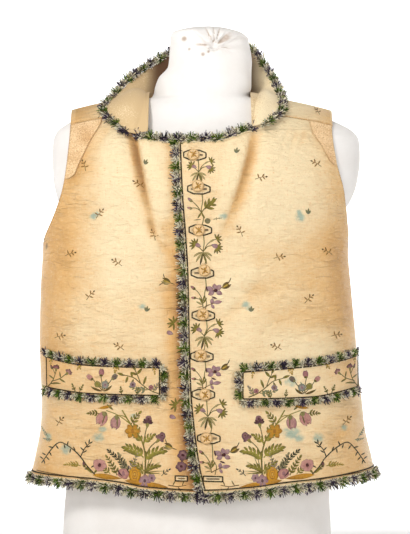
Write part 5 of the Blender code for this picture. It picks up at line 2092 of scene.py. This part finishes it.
def needlework_shapes():
    """All the embroidery on the two fronts and the flaps."""
    work = Needlework()
    for index, (high, low) in enumerate(zip(HOLES, HOLES[1:]), start=1):
        middle = mix(np.array(high), np.array(low), 0.5) + (3, 0)
        size = min(VINE_GROWTH, (high[1] - low[1]) / VINE_PITCH)
        needle = Needle(work, *middle, size=size, base=SEWN_RISE, seed=index)
        path = [(high[0] + 5, high[1] - 6), (high[0] + 6, mix(high[1], low[1], 0.3)), middle,
                (low[0] + 5, mix(high[1], low[1], 0.7)), (low[0] + 3, low[1] + 6)]
        stem_through(lambda x, z: Needle(work, x, z, base=SEWN_RISE), path, 1.1, "sage", "olive")
        draw(VINE_FROND if index == 2 else VINE_STARS if index % 2 else VINE_PANSIES, needle.go)
    for x, z, kind in UNDER_MOTIFS:
        needle = Needle(work, x, z, -70, 1.0, 1, -1, SEWN_RISE, seed=z)
        if kind == "tulip":
            draw(OPEN_TULIP, needle.go)
        elif kind == "star":
            needle.star(10.5, "moss", "olive", 6, 250)
        elif kind == "rose":
            needle.flower(8.6, 6, "mauve", "plum", "maroon", fat=0.9)
        else:
            needle.bell(10)
    for index, (x, z, grey) in enumerate(SPRIGS):
        side = -1 if x < centre_edge(z) else 1
        on_strip = z > STRIP_HEIGHT
        needle = Needle(work, x, z, (index * 53) % 70 - 35, 0.7 if on_strip else 0.95,
                        1 if index % 2 else -1, side, STRIP_RISE if on_strip else SEWN_RISE,
                        seed=index)
        draw(GREY_SPRIG if grey else SPRIG, needle.go)
    for side, _word in SIDES:

        def on_hem(x, z, turn=0.0, side=side):
            return Needle(work, x if side < 0 else MIRROR - x, z, turn, 1.0, -side, side,
                          SEWN_RISE, round(abs(x) * 7 + z))

        def on_flap(x, z, turn=0.0, side=side):
            high, low = flap_edges[-1](x)
            top, bottom = flap_edges[side](x if side < 0 else MIRROR - x)
            needle = on_hem(x, mix(bottom, top, (z - low) / (high - low)), turn, side)
            needle.base = FLAP_FACE + SEWN_RISE
            return needle

        draw(HEM_SPRAY, on_hem)
        draw(FLAP_SPRAYS, on_flap)
    return work


# distance left of the centre line, height
HOLES = table("""
-12.2 609.1; -6.4 559.7; -4.2 500.4; -1.3 438.3; 0.1 377; -2 317.9; 0.1 263.2; 8 199.9; 14.5 142
""")
# half lengths and half heights of the holes, and of the thin one at the foot
HOLE_SIZE = (16.2, 7.2)
LOW_HOLE_SIZE = (14.0, 3.6)
# the thin hole on the right front's lap: its place, half length and half height
LAP_HOLE = (-31.0, 142.5, 9.0, 3.6)
# what shows on the right front's lap: distance left of the centre line, height, kind
UNDER_MOTIFS = ((-47, 424, "tulip"), (-42, 366, "star"), (-43, 350, "bell"), (-39, 248, "star"),
                (-39, 229, "bell"), (-44, 186, "tulip"), (-29, 176, "rose"), (-31, 160, "rose"))
STRIP_HEIGHT = 660          # sprigs above this are on the shoulder strips
# distance from the centre line, height, and 1 where the thread has gone grey
SPRIGS = table("""
-174 595 0; -84 599 1; -94 567 0; -151 524 0; -72 493 0; -195 466 0; -124 453 0; -164 405 0
-81 385 1; -209 345 0; -121 331 0; -210 220 0; 49 614 1; 83 576 0; 167 598 0; 153 527 1
54 498 0; 110 461 0; 183 469 0; 153 400 0; 70 385 1; 194 347 0; 107 331 0; 211 221 0; 171 677 0
""")


def needlework_piece(material):
    points, faces, colours, uvs, sides = needlework_shapes().arrays()
    solid = np.zeros_like(points)
    for side, _word in SIDES:
        here = sides == side
        x, z, lift = points[here].T
        lift = lift + np.where(lift > CLOTH, flap_rise(side, x, z), 0)
        solid[here] = on_front(side, x, z, lift)
    return make_mesh("needlework", solid, faces, uvs, {"thread": colours}, materials=[material])


def hole_outline(x, z, long, high, square):
    """A buttonhole's lozenge: pointed ends and a flat top, or a thin rectangle."""
    end = 1.0 if square else 0.48
    corners = [(-1, -end), (-1, end), (-0.45, 1), (0.4, 1), (1, end), (1, -end), (0.4, -1),
               (-0.45, -1), (-1, -end)]
    line = even_line(np.array(corners) * (long, high), 0.8)[:-1]
    return line + (x, z) - np.stack([0 * line[:, 0], line[:, 0] * 0.03], -1)


def buttonhole_lines():
    """The dark outline, the pale satin inside it and the slit of every buttonhole."""
    outline, satin, slit = [], [], []
    spots = [(1, x + 0.5, z, *HOLE_SIZE, False) for x, z in HOLES[:-1]]
    spots += [(1, *HOLES[-1], *LOW_HOLE_SIZE, True), (-1, *LAP_HOLE, True)]
    for side, x, z, long, high, square in spots:
        for group, inset, lift in ((outline, 0.0, 0.3), (satin, 2.0, 0.2)):
            line = hole_outline(x, z, long - inset * 1.2, high - inset * 0.9, square)
            group.append(laid_line(side, line, lift)[:2])
        for rise in (-0.8, 0.8):
            line = np.stack([np.linspace(x - long + 5.5, x + long - 5.5, 20),
                             np.full(20, z + rise)], -1)
            slit.append(laid_line(side, line, 0.1)[:2])
    return outline, satin, slit


# ---------------------------------------------------------------- buttons

# a button's dome: share of the radius, share of the height
DOME = np.transpose(table("""
0 1; 0.25 0.985; 0.45 0.94; 0.65 0.85; 0.82 0.7; 0.92 0.52; 0.98 0.34; 1 0.14
"""))
RIM_STITCHES = 34


def button_face(part):
    """Height of the dome at a share of its radius."""
    return float(np.interp(part, *DOME)) * BUTTON_HEIGHT


def button_piece(number, silk, thread):
    """A domed silk button: a crossed sprig on its face and a stitched rim."""
    dice = random.Random(number)
    x, z = BUTTONS[number - 1]
    turns = np.linspace(0, 2 * math.pi, 40, endpoint=False)
    rings = [(part, button_face(part)) for part in
             (0.04, 0.15, 0.28, 0.42, 0.55, 0.67, 0.77, 0.85, 0.92, 0.97, 1.0)]
    rings += [(0.985, 0.3), (0.93, 0.0), (0.5, 0.0), (0.04, 0.0)]
    flat = np.array([(part * BUTTON_RADIUS * math.cos(turn), part * BUTTON_RADIUS
                      * math.sin(turn), high) for part, high in rings for turn in turns]
                    + [(0, 0, BUTTON_HEIGHT), (0, 0, 0)])
    rows, columns = len(rings), len(turns)
    index = np.arange(columns)
    after = (index + 1) % columns
    last = (rows - 1) * columns
    centre = np.full(columns, rows * columns)
    dome = np.concatenate([triangles(grid_faces(rows, columns, closed=True, flip=True)),
                           np.stack([index, after, centre], -1),
                           np.stack([last + after, last + index, centre + 1], -1)])

    work = Needlework()
    needle = Needle(work, 0, 0, dice.uniform(-14, 14), seed=number)
    for heading in (42, 138, 222, 318):
        needle.leaf(heading + dice.uniform(-9, 9), 6.4, 2.5, "gold", "ochre", away=0.3)
    for heading in (0, 90, 180):
        needle.leaf(heading, 4.6, 1.5, "ochre", "brown", away=0.4)
    needle.disc(0.9, "brown", "ochre", 0.2)
    for stitch in range(RIM_STITCHES):
        rim = Needle(work, 0, 0, stitch * 360 / RIM_STITCHES, seed=stitch)
        rim.leaf(0, 1.7, 0.95, "gold" if stitch % 3 else "ochre", "brown", away=7.2, count=4)
    sewn, sewn_faces, colours, uvs, _sides = work.arrays()
    reach = np.minimum(np.hypot(sewn[:, 0], sewn[:, 1]) / BUTTON_RADIUS, 0.999)
    high = np.array([button_face(part) for part in reach]) + sewn[:, 2]
    sewn = np.stack([sewn[:, 0], sewn[:, 1], high], -1)

    every = np.concatenate([flat, sewn])
    faces = np.concatenate([dome, sewn_faces + len(flat)])
    uv = np.concatenate([flat[:, :2] * MM, uvs])
    thread_colours = np.concatenate([np.full((len(flat), 3), 0.8), colours])
    out = outward(angle_of(x, z), arc_of(x, z))
    across = unit(np.cross((0, 0, 1.0), out))
    up = np.cross(out, across)
    centre = on_front(1, x, z, SEAM_GAP)
    solid = centre + every @ np.array([across, up, out])
    piece = make_mesh(f"button_{number}_covered", solid, faces, uv,
                      {"thread": thread_colours, "wear": np.zeros((len(every), 3)) + (0.3, 0, 0)},
                      materials=[silk, thread])
    which = np.zeros(len(piece.data.polygons), np.int32)
    which[len(dome):] = 1
    piece.data.polygons.foreach_set("material_index", which)
    return piece


# ---------------------------------------------------------------- what a user may change

def colour(name, description, *rgb):
    """A colour setting, its default given as 0 to 255."""
    return FloatVectorProperty(name=name, description=description, subtype="COLOR", size=3,
                               min=0, max=1, default=linear(*rgb)[:3])


class WaistcoatFinish(PropertyGroup):
    fresh: colour("Fresh silk", "Silk where it has kept its colour", 251, 228, 184)
    # the browned and dark silk colours also serve as painted shade at the sides and in the creases
    worn: colour("Worn silk", "Silk where it has browned", 232, 182, 114)
    deep: colour("Soiled silk", "Silk in folds and at the edges", 158, 102, 48)
    gleam: colour("Gleam", "The lightest threads of the silk", 255, 240, 208)
    cotton: colour("Form cotton", "The dress form's cover", 240, 236, 232)


class WaistcoatTrim(PropertyGroup):
    pitch: FloatProperty(name="Tuft spacing", description="From one tuft of the fringe to the next",
                         default=9.4 * MM, min=0.003, max=0.03, unit="LENGTH")
    strands: IntProperty(name="Strands", description="Strands of floss in one tuft",
                         default=66, min=5, max=120)
    strand: FloatProperty(name="Strand", description="Half the thickness of a strand",
                          default=0.6 * MM, min=0.0001, max=0.001, unit="LENGTH")


class WaistcoatStage(PropertyGroup):
    key: FloatProperty(name="Key light", description="Power of the large soft light", default=62.0,
                       min=0, max=1000, unit="POWER")
    fill: FloatProperty(name="Fill light", description="Power of the fill light", default=11.0,
                        min=0, max=1000, unit="POWER")
    room: FloatProperty(name="Room light", description="Strength of the light from all round",
                        default=0.06, min=0, max=10)


# ---------------------------------------------------------------- operators

MATERIALS = {}
# the stage, in metres
CAMERA_SPOT = (0.003, -3.5, 0.447)
CAMERA_LENS = 157.3
LIT_SPOT = (0, 0, 0.46)     # what every light points at


def finishes(scene):
    """The shared materials, made once."""
    if not MATERIALS:
        look = scene.waistcoat_finish
        MATERIALS.update(
            silk=silk_finish(look),
            cotton=cotton_finish(look),
            back=plain_cloth_finish("back_cloth", (242, 222, 184), (216, 186, 140), 900),
            lining=plain_cloth_finish("collar_lining", (250, 230, 190), (212, 182, 136), 640, 0.5),
            facing=plain_cloth_finish("armhole_facing", (236, 204, 158), (204, 160, 110), 520, 1.0,
                                      0.5, (160, 108, 74)),
            floss=fringe_finish(),
            needlework=thread_finish("needlework_silks"),
            dark=thread_finish("dark_thread", (44, 34, 12)),
            brown=thread_finish("brown_thread", (150, 106, 58)),
            cream=thread_finish("cream_cord", (248, 228, 186)))
    return MATERIALS


class WAISTCOAT_OT_form(Operator):
    """Build the cotton-covered dress form"""
    bl_idname = "waistcoat.form"
    bl_label = "Dress form"

    def execute(self, context):
        piece = build_form_mesh(finishes(context.scene)["cotton"])
        place(piece, ["dress_form"], "cotton")
        return {"FINISHED"}


class WAISTCOAT_OT_fronts(Operator):
    """Build the two silk fronts"""
    bl_idname = "waistcoat.fronts"
    bl_label = "Fronts"

    def execute(self, context):
        for side, word in SIDES:
            piece = front_cloth(side, word, finishes(context.scene)["silk"])
            place(piece, [f"front_{word}"], "silk")
            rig.sheet(piece, flat=(0.3, 0.62), held="hung", area=0.165,
                     rests_on=[f"shoulder_strip_{word}_silk", "dress_form_cover"])
        return {"FINISHED"}


class WAISTCOAT_OT_back(Operator):
    """Build the plain cloth back"""
    bl_idname = "waistcoat.back"
    bl_label = "Back"

    def execute(self, context):
        piece = back_cloth(finishes(context.scene)["back"])
        place(piece, ["back"], "back_cloth")
        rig.sheet(piece, flat=(0.58, 0.66), held="hung", area=0.3,
                 rests_on=["shoulder_strip_right_silk", "shoulder_strip_left_silk",
                           "dress_form_cover"])
        return {"FINISHED"}


class WAISTCOAT_OT_shoulders(Operator):
    """Build the narrow silk strips over the shoulders"""
    bl_idname = "waistcoat.shoulders"
    bl_label = "Shoulder strips"

    def execute(self, context):
        for side, word in SIDES:
            piece = strip_cloth(side, word, finishes(context.scene)["silk"])
            place(piece, [f"shoulder_strip_{word}"], "silk")
            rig.sheet(piece, flat=(0.115, 0.1), held="draped", area=0.0112,
                     rests_on=["dress_form_cover"])
        return {"FINISHED"}


class WAISTCOAT_OT_collar(Operator):
    """Build the standing collar and its lining"""
    bl_idname = "waistcoat.collar"
    bl_label = "Collar"

    def execute(self, context):
        looks = finishes(context.scene)
        outer, inner = collar_cloth(looks["silk"], looks["lining"])
        place(outer, ["collar_outer"], "silk")
        place(inner, ["collar_lining"], "lining")
        for piece in (outer, inner):
            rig.sheet(piece, flat=(0.56, 0.07), held="stretched",
                     area=0.0305 if piece is outer else 0.0335,
                     rests_on=["waistcoat_front_right", "waistcoat_front_left", "waistcoat_back"])
        return {"FINISHED"}


class WAISTCOAT_OT_facings(Operator):
    """Build the coarse facings at the armholes"""
    bl_idname = "waistcoat.facings"
    bl_label = "Armhole facings"

    def execute(self, context):
        for side, word in SIDES:
            piece = facing_cloth(side, word, finishes(context.scene)["facing"])
            place(piece, [f"armhole_facing_{word}"], "facing")
            area = 0.003 if side < 0 else 0.0018
            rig.sheet(piece, flat=(0.055, 0.1), held="laid", area=area,
                     rests_on=[f"waistcoat_front_{word}"])
        return {"FINISHED"}


class WAISTCOAT_OT_flaps(Operator):
    """Build the two pocket flaps"""
    bl_idname = "waistcoat.flaps"
    bl_label = "Pocket flaps"

    def execute(self, context):
        for side, word in SIDES:
            piece = flap_cloth(side, word, finishes(context.scene)["silk"])
            place(piece, [f"pocket_flap_{word}"], "silk")
            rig.sheet(piece, flat=(0.2, 0.05), held="laid", rests_on=[f"waistcoat_front_{word}"])
        return {"FINISHED"}


class WAISTCOAT_OT_fringes(Operator):
    """Knot the floss fringes round the collar, fronts, hems and pockets"""
    bl_idname = "waistcoat.fringes"
    bl_label = "Fringes"

    def execute(self, context):
        looks = finishes(context.scene)
        trim = context.scene.waistcoat_trim
        tree = tuft_tree()
        for seed, (name, line) in enumerate(fringe_lines().items(), start=3):
            reach = POCKET_FRINGE if name.startswith("pocket") else FRINGE_REACH
            piece = fringe_piece(f"fringe_{name}", line, reach, trim, looks["floss"], tree, seed)
            place(piece, [f"fringe_{name}"], "fringe")
        return {"FINISHED"}


class WAISTCOAT_OT_seams(Operator):
    """Lay the cream cords, the dark stem lines and the stitches along the seams"""
    bl_idname = "waistcoat.seams"
    bl_label = "Cords and stitches"

    def execute(self, context):
        looks = finishes(context.scene)
        tree = stitch_tree()
        cords, stems, overcast, running = [], [], [], []
        for side, _word in SIDES:
            cords += piping_lines(side)
            stems += stem_lines(side)
            overcast += [armhole_line(side, 0.6, 0.3),
                         facing_line(side, 0.4, PATCH + LYING_GAP + 0.15),
                         seam_line(side, FRONT_SEAM + 0.3, STITCH_RISE)]
            running += [facing_line(side, -2.2, STITCH_RISE), armhole_line(side, 4.0, STITCH_RISE),
                        seam_line(side, FRONT_SEAM + 3.5, 0.45)]
        place(round_cords("edge_cords", cords, looks["cream"]))
        place(stitched("stem_stitch", stems, looks["dark"], tree, 2.0, 3.4, 2.4, 0.22))
        place(stitched("overcast_stitch", overcast, looks["brown"], tree, 2.4, 2.2, 0.6, 1.15))
        place(stitched("running_stitch", running, looks["cream"], tree, 3.2, 2.0, 0.55, 0.0))
        outline, satin, slit = buttonhole_lines()
        place(stitched("buttonhole_stitch", outline, looks["dark"], tree, 1.0, 2.4, 1.6, 1.3,
                       closed=True))
        place(stitched("buttonhole_satin", satin, looks["cream"], tree, 1.0, 2.0, 1.1, 1.57,
                       closed=True))
        place(stitched("buttonhole_slit", slit, looks["dark"], tree, 1.4, 2.0, 1.3, 0.1))
        return {"FINISHED"}


class WAISTCOAT_OT_needlework(Operator):
    """Embroider the sprays, the vine down the front and the scattered sprigs"""
    bl_idname = "waistcoat.needlework"
    bl_label = "Needlework"

    def execute(self, context):
        place(needlework_piece(finishes(context.scene)["needlework"]))
        return {"FINISHED"}


class WAISTCOAT_OT_buttons(Operator):
    """Sew on the eight covered buttons"""
    bl_idname = "waistcoat.buttons"
    bl_label = "Buttons"

    def execute(self, context):
        looks = finishes(context.scene)
        for number in range(1, len(BUTTONS) + 1):
            piece = button_piece(number, looks["silk"], looks["needlework"])
            place(piece, [f"button_{number}"], "button")
        return {"FINISHED"}


class WAISTCOAT_OT_stage(Operator):
    """Set the floor, the lights and the camera"""
    bl_idname = "waistcoat.stage"
    bl_label = "Stage"

    def execute(self, context):
        setting = context.scene.waistcoat_stage
        bend = np.linspace(0, math.pi / 2, 13)[1:]
        # the paper: how far out it lies flat, the curve it turns up in, and how high it goes
        flat, curve, top = 8100, 900, 3200
        profile = [(spot, 0) for spot in (1, 200, 400, 600, 900, 1300, 2000, 3000, 5000, flat)]
        profile += [(flat + curve * math.sin(turn), curve - curve * math.cos(turn))
                    for turn in bend]
        profile.append((flat + curve, top))
        turns = np.linspace(0, 2 * math.pi, 64, endpoint=False)
        points = np.array([(spot * math.sin(turn), spot * math.cos(turn), z)
                           for spot, z in profile for turn in turns])
        away = np.hypot(points[:, 0], points[:, 1])
        glow = np.maximum(soft((points[:, 1] - 200) / 500), 0.86 * soft((away - 1500) / 1500))
        glow = glow[:, None] * np.ones(3)
        faces = grid_faces(len(profile), len(turns), closed=True)
        paper = Finish("pale_paper", Roughness=0.95, Emission_Strength=0.9)
        paper.put(paper.attribute("glow"), paper.shader.inputs["Emission Color"])
        grain = paper.noise(paper.place(), 30.0, 3.0)
        floor = make_mesh("floor", points, faces, colours={"glow": glow}, materials=[paper.close(
            paper.blend(grain, linear(244, 244, 244), linear(250, 250, 250)))])
        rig.stage(floor)

        world = bpy.data.worlds.new("Soft room")
        context.scene.world = world
        world.use_nodes = True
        background = world.node_tree.nodes["Background"]
        background.inputs["Color"].default_value = (1, 1, 1, 1)
        background.inputs["Strength"].default_value = setting.room

        # each light's name, power, place, size and colour
        lights = (("Key", setting.key, (-1.2, -2.6, 2.4), 0.9, (1.0, 0.985, 0.96)),
                  ("Fill", setting.fill, (2.4, -2.2, 0.9), 1.8, (0.97, 0.98, 1.0)),
                  ("Top", setting.fill * 0.8, (-0.2, -0.4, 2.6), 1.4, (1.0, 1.0, 1.0)),
                  ("Back", setting.fill * 3.2, (1.9, 3.1, 2.0), 1.2, (1.0, 0.99, 0.97)))
        for name, power, spot, size, colour in lights:
            data = bpy.data.lights.new(name, "AREA")
            data.shape = "DISK"
            data.size = size
            data.energy = power
            data.color = colour
            lamp = put_in_scene(name, data)
            lamp.location = spot
            aim = Vector(LIT_SPOT) - Vector(spot)
            lamp.rotation_euler = aim.to_track_quat("-Z", "Y").to_euler()

        camera = bpy.data.cameras.new("Camera")
        camera.sensor_width = 36
        camera.lens = CAMERA_LENS
        view = put_in_scene("Camera", camera)
        view.location = CAMERA_SPOT
        view.rotation_euler = (math.pi / 2, 0, 0)
        context.scene.camera = view
        context.scene.view_settings.view_transform = "Standard"
        return {"FINISHED"}


PIECES = (WAISTCOAT_OT_form, WAISTCOAT_OT_fronts, WAISTCOAT_OT_back, WAISTCOAT_OT_shoulders,
          WAISTCOAT_OT_collar, WAISTCOAT_OT_facings, WAISTCOAT_OT_flaps,
          WAISTCOAT_OT_fringes, WAISTCOAT_OT_seams, WAISTCOAT_OT_needlework,
          WAISTCOAT_OT_buttons, WAISTCOAT_OT_stage)


class WAISTCOAT_PT_panel(Panel):
    bl_label = "Embroidered waistcoat"
    bl_idname = "WAISTCOAT_PT_panel"
    bl_space_type = "VIEW_3D"
    bl_region_type = "UI"
    bl_category = "Waistcoat"

    def draw(self, context):
        for group in GROUPS:
            settings = getattr(context.scene, GROUPS[group])
            box = self.layout.box()
            for key in group.__annotations__:
                box.prop(settings, key)
        for piece in PIECES:
            self.layout.operator(piece.bl_idname)


GROUPS = {WaistcoatFinish: "waistcoat_finish", WaistcoatTrim: "waistcoat_trim",
          WaistcoatStage: "waistcoat_stage"}


def register():
    for kind in (*GROUPS, *PIECES, WAISTCOAT_PT_panel):
        bpy.utils.register_class(kind)
    for group, name in GROUPS.items():
        setattr(bpy.types.Scene, name, PointerProperty(type=group))


def unregister():
    for name in GROUPS.values():
        delattr(bpy.types.Scene, name)
    for kind in (WAISTCOAT_PT_panel, *reversed(PIECES), *reversed(list(GROUPS))):
        bpy.utils.unregister_class(kind)


def clear_startup():
    """Remove the startup scene's own objects, and nothing of the frame."""
    for name in ("Cube", "Light", "Camera"):
        if name in bpy.data.objects and name not in frame["nodes"]:
            bpy.data.objects.remove(bpy.data.objects[name])


def main():
    clear_startup()
    register()
    for piece in PIECES:
        getattr(bpy.ops.waistcoat, piece.bl_idname.split(".")[1])()
    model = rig.bounds()
    with open("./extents.json", "w") as sizes:
        json.dump({"cad": [list(corner) for corner in CAD_BOX],
                   "visual": [list(corner) for corner in model]}, sizes)


if __name__ == "__main__":
    main()
